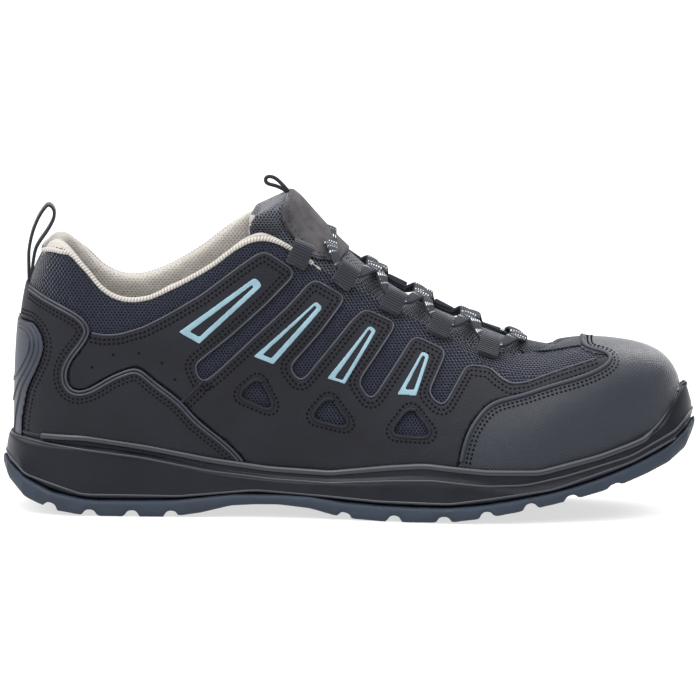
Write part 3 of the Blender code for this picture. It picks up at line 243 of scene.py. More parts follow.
class Paint:
    """A material whose nodes are made by one method."""

    def __init__(self, name, **settings):
        self.material = bpy.data.materials.new(name)
        self.material.use_nodes = True
        self.tree = self.material.node_tree
        self.shader = self.tree.nodes["Principled BSDF"]
        for socket, value in settings.items():
            self.shader.inputs[socket.replace("_", " ")].default_value = value

    def node(self, kind, settings, sockets):
        node = self.tree.nodes.new(kind)
        for name, value in settings.items():
            setattr(node, name, value)
        for key, value in sockets.items():
            self.put(node.inputs[key], value)
        return node

    def put(self, socket, value):
        if isinstance(value, Value):
            self.tree.links.new(value.socket, socket)
        elif socket.type == 'RGBA' and len(value) == 3:
            socket.default_value = (*value, 1.0)
        else:
            socket.default_value = value

    def place(self, source="Object", scale=(1.0, 1.0, 1.0), turn=(0.0, 0.0, 0.0)):
        """Object or UV coordinates in millimetres, scaled and turned."""
        where = self.node('ShaderNodeTexCoord', {}, {})
        node = self.node('ShaderNodeMapping', {},
                         {"Vector": Value(self, where.outputs[source]), "Rotation": turn,
                          "Scale": tuple(1000.0 * s for s in scale)})
        return Value(self, node.outputs[0])

    def split(self, vector):
        node = self.node('ShaderNodeSeparateXYZ', {}, {"Vector": vector})
        return [Value(self, output) for output in node.outputs]

    def noise(self, vector, size, detail=2.0, rough=0.5):
        node = self.node('ShaderNodeTexNoise', {}, {"Vector": vector, "Scale": 1.0 / size,
                                                    "Detail": detail, "Roughness": rough})
        return Value(self, node.outputs[0])

    def cells(self, vector, size, feature='F1', jitter=1.0):
        node = self.node('ShaderNodeTexVoronoi', {"feature": feature},
                         {"Vector": vector, "Scale": 1.0 / size, "Randomness": jitter})
        return Value(self, node.outputs["Distance"])

    def mix(self, factor, first, second):
        node = self.node('ShaderNodeMix', {"data_type": 'RGBA'}, {0: factor, 6: first, 7: second})
        return Value(self, node.outputs[2])

    def bump(self, height, depth, before=None):
        """Depth is the height in metres that 1 stands for."""
        sockets = {"Height": height, "Distance": depth, "Strength": 1.0}
        if before is not None:
            sockets["Normal"] = before
        return Value(self, self.node('ShaderNodeBump', {}, sockets).outputs[0])

    def set(self, **sockets):
        for name, value in sockets.items():
            self.put(self.shader.inputs[name.replace("_", " ")], value)
        return self.material


def shade(base, amount):
    return tuple(min(channel * amount, 1.0) for channel in base)


def shades(base, low, high):
    return shade(base, low), shade(base, high)


MATERIALS = {}


def finish_of(name):
    """Make a finish once, on first use."""
    if name not in MATERIALS:
        MATERIALS[name] = FINISHES[name](bpy.context.scene.trainer_colours)
    return MATERIALS[name]


def leather_finish(colours):
    """Full-grain look: fine pebble, faint wrinkles and a soft sheen."""
    paint = Paint("panel_leather", Specular_IOR_Level=0.19)
    where = paint.place()
    pebble = paint.cells(where, 0.75, 'SMOOTH_F1')
    wrinkle = paint.noise(where, 5.0, 4.0, 0.6)
    broad = paint.noise(where, 28.0, 2.0)
    grain = pebble.ramp(0.1, 0.7) * 0.7 + wrinkle * 0.5
    tint = paint.mix(broad.ramp(0.35, 0.7), *shades(colours.leather, 0.84, 1.22))
    tint = paint.mix(pebble.ramp(0.35, 0.75) * 0.35, tint, shade(colours.leather, 0.55))
    normal = paint.bump(grain, 0.00010)
    normal = paint.bump(paint.noise(where, 14.0, 2.0), 0.0007, normal)
    return paint.set(Base_Color=tint, Roughness=broad.ramp(0.3, 0.75, 0.50, 0.62), Normal=normal)


def cap_finish(colours):
    """Coated toe cap with a fine pressed diamond grid."""
    paint = Paint("toe_cap_coating", Specular_IOR_Level=0.36, Sheen_Weight=0.60,
                  Sheen_Roughness=0.30, Coat_Weight=0.15, Coat_Roughness=0.35)
    where = paint.place()
    u, v, _ = paint.split(paint.place("UV"))
    one = ((u * 0.85 + v) * math.tau / 1.5).math('SINE')
    other = ((u * 0.85 - v) * math.tau / 1.5).math('SINE')
    pressed = one.math('MAXIMUM', other).ramp(0.1, 1.0)
    broad = paint.noise(where, 22.0, 2.0)
    rub = paint.noise(where, 4.0, 3.0)
    # Painted shade and highlight: the grid's raised lines are paler and its hollows darker, as the
    # bump.
    tint = paint.mix(pressed, *shades(colours.cap, 0.72, 1.3))
    tint = paint.mix(broad.ramp(0.4, 0.75) * 0.4, tint, shade(colours.cap, 1.3))
    normal = paint.bump(pressed, 0.00011)
    return paint.set(Base_Color=tint, Roughness=rub.ramp(0.3, 0.7, 0.46, 0.56), Normal=normal)


def netting(paint, where, across, along, hole):
    """An open mesh of round holes in staggered rows: 1 on the threads, 0 in the holes."""
    u, v, _ = paint.split(where)
    v = v / along
    row = v.math('FLOOR')
    u = u / across + row.math('MODULO', 2.0) * 0.5
    du = u.math('FRACT') - 0.5
    dv = (v.math('FRACT') - 0.5) * (along / across)
    reach = (du * du + dv * dv).math('SQRT')
    return reach.ramp(hole - 0.09, hole + 0.11)


def cloth_finish(colours, name="mesh_cloth", yarns="cloth"):
    """Spacer mesh: raised knitted threads round open holes painted near-black, a painted shade
    inside them.
    """
    thread = getattr(colours, yarns)
    paint = Paint(name, Specular_IOR_Level=0.14, Sheen_Weight=0.32, Sheen_Roughness=0.35)
    where = paint.place("UV")
    threads = netting(paint, where, 1.5, 1.15, 0.29)
    yarn = paint.noise(paint.place(), 0.35, 2.0)
    broad = paint.noise(paint.place(), 18.0, 2.0)
    tint = paint.mix(yarn.ramp(0.3, 0.7), *shades(thread, 0.7, 1.7))
    # Painted shade: the holes are near-black for the shade inside the open mesh.
    tint = paint.mix(threads, shade(colours.cloth, 0.06), tint)
    tint = paint.mix(broad.ramp(0.35, 0.7) * 0.25, tint, shade(colours.cloth, 0.4))
    normal = paint.bump(threads, 0.00035)
    normal = paint.bump(yarn, 0.00012, normal)
    return paint.set(Base_Color=tint, Roughness=0.88, Normal=normal)


def tongue_finish(colours):
    """The tongue's mesh, a little paler."""
    return cloth_finish(colours, "tongue_cloth", "tongue")


def lining_finish(colours):
    """Brushed knitted lining with a fine staggered mesh."""
    paint = Paint("lining_cloth", Specular_IOR_Level=0.2, Sheen_Weight=0.35, Sheen_Roughness=0.45)
    threads = netting(paint, paint.place("UV"), 1.7, 1.1, 0.16)
    yarn = paint.noise(paint.place(), 0.45, 3.0)
    broad = paint.noise(paint.place(), 16.0, 2.0)
    tint = paint.mix(yarn.ramp(0.3, 0.7), *shades(colours.lining, 0.78, 1.08))
    # Painted shade: the mesh's holes are darker for the shade inside them.
    tint = paint.mix(threads, shade(colours.lining, 0.55), tint)
    tint = paint.mix(broad.ramp(0.4, 0.75) * 0.3, tint, shade(colours.lining, 0.7))
    normal = paint.bump(threads, 0.00018)
    normal = paint.bump(paint.noise(paint.place(), 9.0, 2.0), 0.0009, normal)
    return paint.set(Base_Color=tint, Roughness=0.92, Normal=normal)


def piping_finish(colours):
    """Twisted cord: slanted strands that run with the piece's own length."""
    paint = Paint("piping_cord", Specular_IOR_Level=0.25, Sheen_Weight=0.3)
    u, v, _ = paint.split(paint.place("UV"))
    strands = ((u * 0.35 + v) * math.tau / 1.4).math('SINE') * 0.5 + 0.5
    # Painted shade and highlight: the strands are pale on top and dark in the grooves between them,
    # as the bump.
    tint = paint.mix(strands, *shades(colours.lining, 0.62, 1.22))
    return paint.set(Base_Color=tint, Roughness=0.85, Normal=paint.bump(strands, 0.00022))


def trim_finish(colours):
    """Reflective film: pale, even and slightly pearly."""
    paint = Paint("reflective_trim", Specular_IOR_Level=0.5, Coat_Weight=0.15, Coat_Roughness=0.35)
    fleck = paint.cells(paint.place(), 0.3)
    broad = paint.noise(paint.place(), 9.0, 2.0)
    tint = paint.mix(broad.ramp(0.3, 0.7), *shades(colours.trim, 0.90, 1.10))
    return paint.set(Base_Color=tint, Roughness=fleck.ramp(0.2, 0.7, 0.34, 0.5),
                     Normal=paint.bump(fleck, 0.00003))


def midsole_finish(colours):
    """Moulded foam skin: satin, a little cloudy, with faint flow marks."""
    paint = Paint("midsole_skin", Specular_IOR_Level=0.24)
    where = paint.place()
    cloud = paint.noise(where, 24.0, 3.0)
    flow = paint.noise(paint.place(scale=(0.35, 1.0, 1.6)), 6.0, 3.0)
    skin = paint.noise(where, 0.9, 2.0)
    tint = paint.mix(cloud.ramp(0.3, 0.7), *shades(colours.midsole, 0.8, 1.25))
    normal = paint.bump(flow, 0.00012)
    normal = paint.bump(skin, 0.00005, normal)
    return paint.set(Base_Color=tint, Roughness=cloud.ramp(0.3, 0.7, 0.30, 0.42), Normal=normal)


def webbing_finish(colours):
    """Ribbed tape: fine ribs across the piece's length."""
    paint = Paint("ribbed_webbing", Specular_IOR_Level=0.3, Sheen_Weight=0.2)
    u, v, _ = paint.split(paint.place("UV"))
    ribs = (v * math.tau / 0.9).math('SINE') * 0.5 + 0.5
    yarn = paint.noise(paint.place(), 0.4, 2.0)
    # Painted shade and highlight: the tint is dark in the ribs' troughs and pale on their crests,
    # as the bump.
    tint = paint.mix(ribs * 0.75 + yarn * 0.25, *shades(colours.webbing, 0.3, 2.2))
    return paint.set(Base_Color=tint, Roughness=0.78, Normal=paint.bump(ribs, 0.00028))


def lace_finish(colours):
    """Flat braided lace: dark yarn with pale reflective flecks along its edges."""
    paint = Paint("lace_braid", Specular_IOR_Level=0.4)
    u, v, _ = paint.split(paint.place("UV"))
    braid = (u * math.tau / 1.15).math('SINE') * 0.5 + 0.5
    knit = ((v + u.math('ABSOLUTE') * 0.6) * math.tau / 0.9).math('SINE') * 0.5 + 0.5
    patch = paint.noise(paint.place("UV", (0.08, 0.55, 1.0)), 1.6, 1.0).ramp(0.56, 0.62)
    fleck = (braid.ramp(0.55, 0.85)) * patch
    # Painted shade and highlight: the yarn is dark in the braid's grooves and pale on its raised
    # strands, as the bump.
    tint = paint.mix(braid * 0.7 + knit * 0.3, *shades(colours.lace, 0.3, 2.1))
    tint = paint.mix(fleck, tint, (0.72, 0.76, 0.78))
    return paint.set(Base_Color=tint, Roughness=fleck.ramp(0.0, 1.0, 0.75, 0.4),
                     Normal=paint.bump(braid * 0.7 + knit * 0.3, 0.0003))


def dark_finish(colours):
    """The shadowed inside of a pierced hole, painted near-black as its shade; on the stitch rows,
    the dark thread and the painted shade of its sunk holes.
    """
    paint = Paint("pierced_hole", Specular_IOR_Level=0.1)
    rough = paint.noise(paint.place(), 0.5, 1.0)
    return paint.set(Base_Color=(0.004, 0.004, 0.005), Roughness=rough.ramp(0.0, 1.0, 0.85, 1.0))


def clouded(name, base, size, detail, amounts, rough, specular, grain=None, even=True):
    """A plain finish, cloudy between two shades of its base, with a fine grain if one is given as
    its kind, size and depth."""
    paint = Paint(name, Specular_IOR_Level=specular)
    where = paint.place()
    cloud = paint.noise(where, size, detail)
    sockets = {"Base_Color": paint.mix(cloud if even else cloud.ramp(0.3, 0.7),
                                       *shades(base, *amounts))}
    sockets["Roughness"] = cloud.ramp(0.3, 0.7, *rough) if isinstance(rough, tuple) else rough
    if grain:
        kind, grain_size, depth = grain
        height = (paint.noise(where, grain_size, 2.0) if kind == "skin"
                  else paint.cells(where, grain_size, 'SMOOTH_F1'))
        sockets["Normal"] = paint.bump(height, depth)
    return paint.set(**sockets)


FINISHES = {
    "leather": leather_finish, "cap": cap_finish, "cloth": cloth_finish, "tongue": tongue_finish,
    "lining": lining_finish, "piping": piping_finish, "trim": trim_finish,
    "midsole": midsole_finish, "webbing": webbing_finish, "lace": lace_finish, "dark": dark_finish,
    # The cap's smooth rolled edge.
    "cap_rim": lambda colours: clouded(
        "toe_cap_rim", colours.cap, 7.0, 2.0, (0.9, 1.5), (0.38, 0.48), 0.45),
    # The midsole's rolled lip: the same skin, polished by its mould, and painted paler as a
    # highlight.
    "lip": lambda colours: clouded(
        "midsole_lip", colours.midsole, 16.0, 2.0, (1.2, 2.2), (0.28, 0.36), 0.6),
    # The leather's cut edge: a painted highlight, paler than its face, and glossier.
    "edge": lambda colours: clouded("edge_paint", colours.leather, 6.0, 2.0, (1.2, 4.0), 0.36, 0.5),
    # Bonded sewing thread with a slight shine.
    "thread": lambda colours: clouded(
        "sewing_thread", colours.leather, 0.3, 1.0, (0.25, 0.9), 0.5, 0.5),
    # Moulded rubber with a matt skin.
    "outsole": lambda colours: clouded(
        "outsole_rubber", colours.outsole, 12.0, 3.0, (0.82, 1.18), (0.52, 0.66), 0.35,
        ("skin", 0.8, 0.00008), False),
    # Satin plastic with a light pressed grain.
    "pad": lambda colours: clouded(
        "heel_pad_plastic", colours.pad, 10.0, 2.0, (0.8, 1.2), (0.42, 0.5), 0.45,
        ("pebble", 0.6, 0.00006), False),
    # Bare split leather: matt, mottled, finely pebbled.
    "badge": lambda colours: clouded(
        "badge_leather", colours.badge, 5.0, 3.0, (0.7, 1.2), 0.72, 0.3,
        ("pebble", 0.7, 0.00015), False),
}


def edit_all():
    """Enter edit mode with the whole mesh selected."""
    bpy.ops.object.mode_set(mode='EDIT')
    bpy.ops.mesh.select_all(action='SELECT')


def unselect():
    if bpy.context.object and bpy.context.object.mode != 'OBJECT':
        bpy.ops.object.mode_set(mode='OBJECT')
    bpy.ops.object.select_all(action='DESELECT')


def pick(piece):
    unselect()
    piece.select_set(True)
    bpy.context.view_layer.objects.active = piece


def modify(piece, kind, **settings):
    """Add a modifier and apply it."""
    pick(piece)
    modifier = piece.modifiers.new(kind.title(), kind)
    for name, value in settings.items():
        setattr(modifier, name, value)
    bpy.ops.object.modifier_apply(modifier=modifier.name)
    return piece


def soften_edges(piece, width, segments, angle):
    """Bevel the edges sharper than an angle."""
    return modify(piece, 'BEVEL', width=width, segments=segments, limit_method='ANGLE',
                  angle_limit=math.radians(angle))


def subdivide(piece, levels):
    return modify(piece, 'SUBSURF', levels=levels, render_levels=levels)


def copy_of(source, name):
    """A copy of a piece or a CAD node as a piece of its own."""
    mesh = source.data.copy()
    mesh.name = name
    mesh.materials.clear()
    piece = bpy.data.objects.new(name, mesh)
    bpy.context.scene.collection.objects.link(piece)
    return piece


def sewn_copy(node, name):
    """A CAD node's copy with its doubles merged and its triangles paired into quads."""
    piece = copy_of(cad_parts[node], name)
    pick(piece)
    edit_all()
    bpy.ops.mesh.remove_doubles(threshold=0.00002)
    bpy.ops.mesh.tris_convert_to_quads(face_threshold=math.pi, shape_threshold=math.pi)
    bpy.ops.mesh.normals_make_consistent(inside=False)
    bpy.ops.object.mode_set(mode='OBJECT')
    return piece


def tidy(piece, angle=40):
    """Close the piece's seams, turn its faces outwards and smooth its shading."""
    pick(piece)
    edit_all()
    bpy.ops.mesh.remove_doubles(threshold=0.000005)
    bpy.ops.mesh.normals_make_consistent(inside=False)
    bpy.ops.object.mode_set(mode='OBJECT')
    bpy.ops.object.shade_smooth_by_angle(angle=math.radians(angle))
    return piece


def dress(piece, finishes, slot, *nodes):
    """Give a finished piece its finish and its body, and hide the solids that it stands for."""
    for name in finishes if isinstance(finishes, (tuple, list)) else (finishes,):
        piece.data.materials.append(finish_of(name))
    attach(piece, "root")
    if nodes:
        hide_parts(*nodes)
    return piece


def points_of(mesh):
    found = np.zeros(len(mesh.vertices) * 3)
    mesh.vertices.foreach_get("co", found)
    return found.reshape(-1, 3)


def face_values(mesh, name):
    found = np.zeros(len(mesh.polygons) * 3)
    mesh.polygons.foreach_get(name, found)
    return found.reshape(-1, 3)


def corners_of(mesh):
    """The number of the vertex at each face corner."""
    found = np.zeros(len(mesh.loops), dtype=np.int64)
    mesh.loops.foreach_get("vertex_index", found)
    return found


def lay_uv(mesh, flat):
    layer_uv = mesh.uv_layers.active or mesh.uv_layers.new(name="cloth")
    layer_uv.data.foreach_set("uv", flat.ravel())


def box_unwrap(piece):
    """A UV map in metres: each face is seen from the side that it faces most."""
    mesh = piece.data
    totals = np.zeros(len(mesh.polygons), dtype=np.int64)
    mesh.polygons.foreach_get("loop_total", totals)
    normals = np.repeat(np.abs(face_values(mesh, "normal")), totals, axis=0)
    corner = points_of(mesh)[corners_of(mesh)]
    top = (normals[:, 2] > normals[:, 0]) & (normals[:, 2] > normals[:, 1] * 1.15)
    end = (~top) & (normals[:, 0] > normals[:, 1] * 1.25)
    flat = np.stack((corner[:, 0], corner[:, 2]), axis=1)
    flat[top] = corner[top][:, (0, 1)]
    flat[end] = corner[end][:, (1, 2)]
    lay_uv(mesh, flat)


def at(x, z):
    """A side-view place in metres."""
    return (x - HEEL_BACK) * MM, z * MM


def flowing(line, steps=4):
    """A line through its points that bends smoothly."""
    points = [Vector(point) for point in line]
    ends = [points[0] * 2 - points[1]] + points + [points[-1] * 2 - points[-2]]
    found = []
    for i in range(1, len(ends) - 2):
        a, b, c, d = ends[i - 1:i + 3]
        for step in range(steps):
            t = step / steps
            found.append(0.5 * (2 * b + (c - a) * t + (2 * a - 5 * b + 4 * c - d) * t * t
                                + (3 * b - a - 3 * c + d) * t ** 3))
    return found + [points[-1]]


def filleted(corners, closed=True, steps=5):
    """An outline with each corner rounded by its own third value, in millimetres."""
    found = []
    count = len(corners)
    for i, (x, z, radius) in enumerate(corners):
        here = Vector((x, z))
        if radius <= 0 or (not closed and i in (0, count - 1)):
            found.append(here)
            continue
        before = Vector(corners[i - 1][:2]) - here
        after = Vector(corners[(i + 1) % count][:2]) - here
        half = before.angle(after) / 2
        run = min(radius / math.tan(half), 0.48 * before.length, 0.48 * after.length)
        start, end = here + before.normalized() * run, here + after.normalized() * run
        for step in range(steps + 1):
            t = step / steps
            found.append(start * (1 - t) ** 2 + here * 2 * t * (1 - t) + end * t * t)
    return found


def spaced(line, pitch, first=0.0):
    """Points at an even pitch along a line."""
    found = []
    left = first
    for a, b in zip(line, line[1:]):
        run = (b - a).length
        while left <= run and run > 0:
            found.append(a.lerp(b, left / run))
            left += pitch
        left -= run
    return found


def middle_path(table):
    """A smooth line through side-view places, in space on the shoe's middle plane."""
    return [Vector((*at(x, z), 0.0)).xzy for x, z in flowing(table, 6)]


def heading(line, i):
    """From the point before to the point after one point of a line."""
    return line[min(i + 1, len(line) - 1)] - line[max(i - 1, 0)]


def moved(line, distance):
    """A side-view line moved to its left, without the loops that tight bends would leave."""
    line = spaced(line, 0.5) + [line[-1]]
    flat = np.array([tuple(point) for point in line])
    found = []
    for i, point in enumerate(line):
        way = heading(line, i)
        if way.length:
            way = way.normalized()
        place = point + Vector((-way.y, way.x)) * distance
        gap = np.sqrt(((flat - np.array(tuple(place))) ** 2).sum(axis=1)).min()
        if gap > abs(distance) * 0.97 - 0.02:
            found.append(place)
    return found


def grid(name, columns, rows):
    """A flat grid, to be laid on its place vertex by vertex."""
    unselect()
    bpy.ops.mesh.primitive_grid_add(x_subdivisions=columns, y_subdivisions=rows, size=1.0,
                                    location=(0, 0, 0))
    bpy.context.object.name = name
    return bpy.context.object


def cutter(name, outline, near=-0.09, far=0.09):
    """A side-view outline run across the shoe: a ring laid on the outline, filled and extruded."""
    unselect()
    bpy.ops.mesh.primitive_circle_add(vertices=len(outline), radius=0.01, location=(0, 0, 0))
    tool = bpy.context.object
    tool.name = name
    for vertex, point in zip(tool.data.vertices, outline):
        x, z = at(*point[:2])
        vertex.co = (x, near, z)
    edit_all()
    bpy.ops.mesh.edge_face_add()
    bpy.ops.mesh.extrude_region_move(TRANSFORM_OT_translate={"value": (0, far - near, 0)})
    bpy.ops.mesh.select_all(action='SELECT')
    bpy.ops.mesh.normals_make_consistent(inside=False)
    bpy.ops.object.mode_set(mode='OBJECT')
    return tool


def evened(piece, voxel, passes):
    """Rebuild a piece in even faces and smooth it."""
    modify(piece, 'REMESH', mode='VOXEL', voxel_size=voxel, adaptivity=0.0)
    return modify(piece, 'SMOOTH', factor=0.5, iterations=passes)


def carve(piece, tool, operation='DIFFERENCE'):
    modify(piece, 'BOOLEAN', operation=operation, solver='EXACT', object=tool)
    bpy.data.objects.remove(tool, do_unlink=True)
    return piece


class Skin:
    """The smooth outside of the upper, on which every overlay and stitch lies."""
    piece = None
    tree = None
    outside = None


def axis_of(points):
    """For each point, the middle of the shoe that it faces away from."""
    middle = np.empty_like(points)
    middle[:, 0] = np.clip(points[:, 0], AXIS_BACK, AXIS_FRONT)
    middle[:, 1:] = AXIS_SIDE, AXIS_HEIGHT
    return middle


class TongueSkin(Skin):
    """The padded tongue's outside, for its patch and the cloth at the throat's foot."""


def build_skin():
    """Smooth the upper's solid and note which of its faces look outwards."""
    piece = sewn_copy("upper", "upper_cloth")
    subdivide(piece, 3)
    mesh = piece.data
    Skin.piece = piece
    points = points_of(mesh)
    along_foot = points[:, 0] / MM + HEEL_BACK
    place = np.clip(along_foot.round().astype(int), 0, 259)
    for side in (LATERAL, MEDIAL):
        rise = np.interp(along_foot, *zip(*EDGE_RISE[side])) * MM
        share = np.clip(1.0 - (edge_heights(side)[place] - points[:, 2]) / 0.022, 0.0, 1.0)
        share = share * share * (3 - 2 * share)
        points[:, 2] += np.where(points[:, 1] * side > 0, rise * share, 0.0)
    mesh.vertices.foreach_set("co", points.ravel())
    mesh.update()
    centres = face_values(mesh, "center")
    normals = face_values(mesh, "normal")
    Skin.outside = ((centres - axis_of(centres)) * normals).sum(axis=1) > 0.004
    Skin.tree = tree_of(piece)
    return piece


def edge_heights(side):
    """Height of the upper's edge for each millimetre along one side."""
    points = points_of(Skin.piece.data)
    chosen = points[points[:, 1] * side > 0]
    heights = []
    for x in range(0, 260):
        here = (x - HEEL_BACK) * MM
        near = np.abs(chosen[:, 0] - here) < 0.0009
        heights.append(chosen[near][:, 2].max() if near.any() else 0.0)
    heights = np.array(heights)
    heights[:25] = heights[:26].max()
    return np.convolve(np.pad(heights, 2, mode="edge"), np.full(5, 0.2), mode="valid")


def layer(name, low, high, outline, near=-0.09, far=0.09, holes=(), voxel=0.0008, smooth=3,
          skin=Skin):
    """A layer on the upper from low to high above it, cut to a side-view outline."""
    xs = [point[0] for point in outline]
    zs = [point[1] for point in outline]
    start, _ = at(min(xs) - 5, 0)
    end, _ = at(max(xs) + 5, 0)
    bottom, top = (min(zs) - 5) * MM, (max(zs) + 5) * MM
    piece = copy_of(skin.piece, name)
    centres = face_values(piece.data, "center")
    keep = (skin.outside & (centres[:, 0] > start) & (centres[:, 0] < end)
            & (centres[:, 2] > bottom) & (centres[:, 2] < top)
            & (centres[:, 1] > near - 0.006) & (centres[:, 1] < far + 0.006))
    piece.data.polygons.foreach_set("select", ~keep)
    piece.data.edges.foreach_set("select", [False] * len(piece.data.edges))
    piece.data.vertices.foreach_set("select", [False] * len(piece.data.vertices))
    pick(piece)
    bpy.ops.object.mode_set(mode='EDIT')
    bpy.ops.mesh.select_mode(type='FACE')
    bpy.ops.mesh.delete(type='FACE')
    bpy.ops.object.mode_set(mode='OBJECT')
    modify(piece, 'DISPLACE', strength=low, mid_level=0.0)
    modify(piece, 'SOLIDIFY', thickness=high - low, offset=1.0, use_even_offset=True)
    carve(piece, cutter(name + "_outline", outline, near, far), 'INTERSECT')
    for i, hole in enumerate(holes):
        carve(piece, cutter("%s_hole_%d" % (name, i), hole))
    return evened(piece, voxel, smooth)


def on_skin(x, z, side, lift=0.0, skin=Skin):
    """The place on the upper's side that shows at a side-view place, and the way out of it."""
    px, pz = at(x, z)
    hit, normal, _, _ = skin.tree.ray_cast(Vector((px, side * 0.12, pz)), Vector((0, -side, 0)))
    if hit is None:
        return None, None
    if normal.y * side < 0:
        normal = -normal
    return hit + normal * lift, normal


class TRAINER_OT_upper(bpy.types.Operator):
    """Smooth the upper's solid into mesh cloth outside and lining inside."""
    bl_idname = "trainer.upper"
    bl_label = "Upper cloth and lining"

    def execute(self, context):
        piece = build_skin()
        mesh = piece.data
        centres = face_values(mesh, "center")
        normals = face_values(mesh, "normal")
        along_foot = centres[:, 0] / MM + HEEL_BACK
        bands = np.interp(np.arange(260), *zip(*COLLAR_BAND)) * MM
        inside = ~Skin.outside
        place = np.clip(along_foot.round().astype(int), 0, 259)
        limits = {side: edge_heights(side) - bands for side in (LATERAL, MEDIAL)}
        for side, limit in limits.items():
            here = (centres[:, 1] * side > 0) & (along_foot < COLLAR_FRONT)
            inside |= here & (centres[:, 2] > limit[place])
        away = centres - axis_of(centres)
        faces_in = (away * normals)[:, :2].sum(axis=1) < 0
        inside |= (along_foot < COLLAR_FRONT) & (centres[:, 2] > 0.06) & faces_in
        inside &= ~((along_foot > 200) & (normals[:, 2] > -0.3))
        box_unwrap(piece)
        dress(piece, ("cloth", "lining"), "upper", "upper")
        mesh.polygons.foreach_set("material_index", inside.astype(np.int32))
        pick(piece)
        bpy.ops.object.shade_smooth()
        line = collar_seam(limits)
        ways_out = [Skin.tree.find_nearest(point)[1] for point in line]
        line = [point + way * 0.0004 for point, way in zip(line, ways_out)]
        rope = run_profile("collar_piping", line, eased(ways_out, 4),
                           tube_profile(0.0022, 0.0019, 10))
        dress(tidy(rope, 70), "piping", "lining")
        return {'FINISHED'}


def collar_seam(limits):
    """The seam between cloth and lining, from throat to throat round the heel."""
    sides = {}
    for side in (LATERAL, MEDIAL):
        heights = limits[side] / MM
        found = [on_skin(x, heights[x], side)[0] for x in range(15, 135)]
        sides[side] = [point for point in found if point is not None]
    back = []
    for step in range(-3, 4):
        y = step * 0.0045
        height = limits[LATERAL][10]
        hit, _, _, _ = Skin.tree.ray_cast(Vector((-0.2, y, height)), Vector((1, 0, 0)))
        back.append(hit)
    line = sides[LATERAL][::-1] + back + sides[MEDIAL]
    line = spaced(eased(line, 4, 3), 0.0012)
    return [Skin.tree.find_nearest(point)[0] for point in eased(line, 3, 2)]


class SoleSkin(Skin):
    """The midsole's outside, for its beads."""


def ring_eased(values):
    """Each value of a closed ring averaged with two neighbours on either side."""
    count = len(values)
    return [sum((values[(i + k) % count] for k in (-2, -1, 0, 1, 2)), Vector((0, 0, 0))) / 5
            for i in range(count)]


def ring_path(skin, table, lift, step=0.0012):
    """A closed path round the sole at heights from a table of side-view places."""
    xs, zs = zip(*table)
    toe_turns = [math.radians(a) for a in range(0, 180, 5)]
    heel_turns = [math.radians(a) for a in range(0, 180, 6)]
    rays = [((x, 0.0), (0.0, -1.0)) for x in range(round(HEEL_MIDDLE), round(TOE_MIDDLE), 3)]
    rays += [((TOE_MIDDLE, 4.0), (math.sin(a), -math.cos(a))) for a in toe_turns]
    rays += [((x, 0.0), (0.0, 1.0)) for x in range(round(TOE_MIDDLE), round(HEEL_MIDDLE), -3)]
    rays += [((HEEL_MIDDLE, 0.0), (-math.sin(a), math.cos(a))) for a in heel_turns]
    points = []
    for (x, y), (way_x, way_y) in rays:
        reach = Vector((way_x, way_y, 0.0))
        place_x = x + way_x * 45.0
        for _ in range(3):
            height = float(np.interp(place_x + HEEL_BACK, xs, zs)) * MM
            start = Vector((x * MM, y * MM, height)) + reach * 0.2
            hit, _, _, _ = skin.tree.ray_cast(start, -reach)
            if hit is None:
                break
            place_x = hit.x / MM
        if hit is not None:
            points.append(hit)
    found, ways_out = [], []
    for point in ring_eased(spaced(points + [points[0]], step)):
        place, normal, _, _ = skin.tree.find_nearest(point)
        normal = Vector((normal.x, normal.y, normal.z * 0.4)).normalized()
        found.append(place + normal * lift)
        ways_out.append(normal)
    return found, [way.normalized() for way in ring_eased(ways_out)]


class TRAINER_OT_sole(bpy.types.Operator):
    """Round the midsole's moulded lines and finish the outsole."""
    bl_idname = "trainer.sole"
    bl_label = "Midsole and outsole"

    def execute(self, context):
        piece = sewn_copy("midsole", "midsole_moulding")
        soften_edges(piece, 0.00045, 1, 32)
        subdivide(piece, 2)
        dress(tidy(piece, 50), "midsole", "midsole", "midsole")
        SoleSkin.piece = piece
        SoleSkin.tree = tree_of(piece)
        for name, table, width, height, count in (
                ("rim_bead", RIM_LINE, 0.0030, 0.0022, 10),
                ("ridge_bead", RIDGE_LINE, 0.0012, 0.0010, 8),
                ("foot_bead", FOOT_LINE, 0.0012, 0.0010, 8)):
            path, ways_out = ring_path(SoleSkin, table, 0.0001)
            bead = run_profile(name, path, ways_out, tube_profile(width, height, count), True)
            # The beads take the paler lip finish, a painted highlight along the midsole.
            dress(tidy(bead, 70), "lip", "midsole")
        piece = sewn_copy("outsole", "outsole_tread")
        dress(tidy(evened(piece, 0.00105, 2), 50), "outsole", "outsole", "outsole")
        piece = sewn_copy("insole", "insole_board")
        subdivide(piece, 2)
        box_unwrap(piece)
        dress(tidy(piece, 50), "lining", "lining", "insole")
        return {'FINISHED'}


def panel_outline():
    return filleted(list(PANEL_EDGE) + [(x, z, 0) for x, z in PANEL_CLOSE])


def counter_line(distance=0.0):
    return moved(flowing(COUNTER_EDGE), distance)


def cap_line(distance=0.0):
    return moved(flowing(TOE_CAP_EDGE), distance)


def pad_line(distance=0.0):
    return moved(flowing(HEEL_PAD_EDGE), distance)


def behind(line):
    return list(line) + [Vector((-25.0, line[-1][1])), Vector((-25.0, line[0][1]))]


def ahead(line):
    return list(line) + [Vector((330.0, line[-1][1])), Vector((330.0, line[0][1]))]


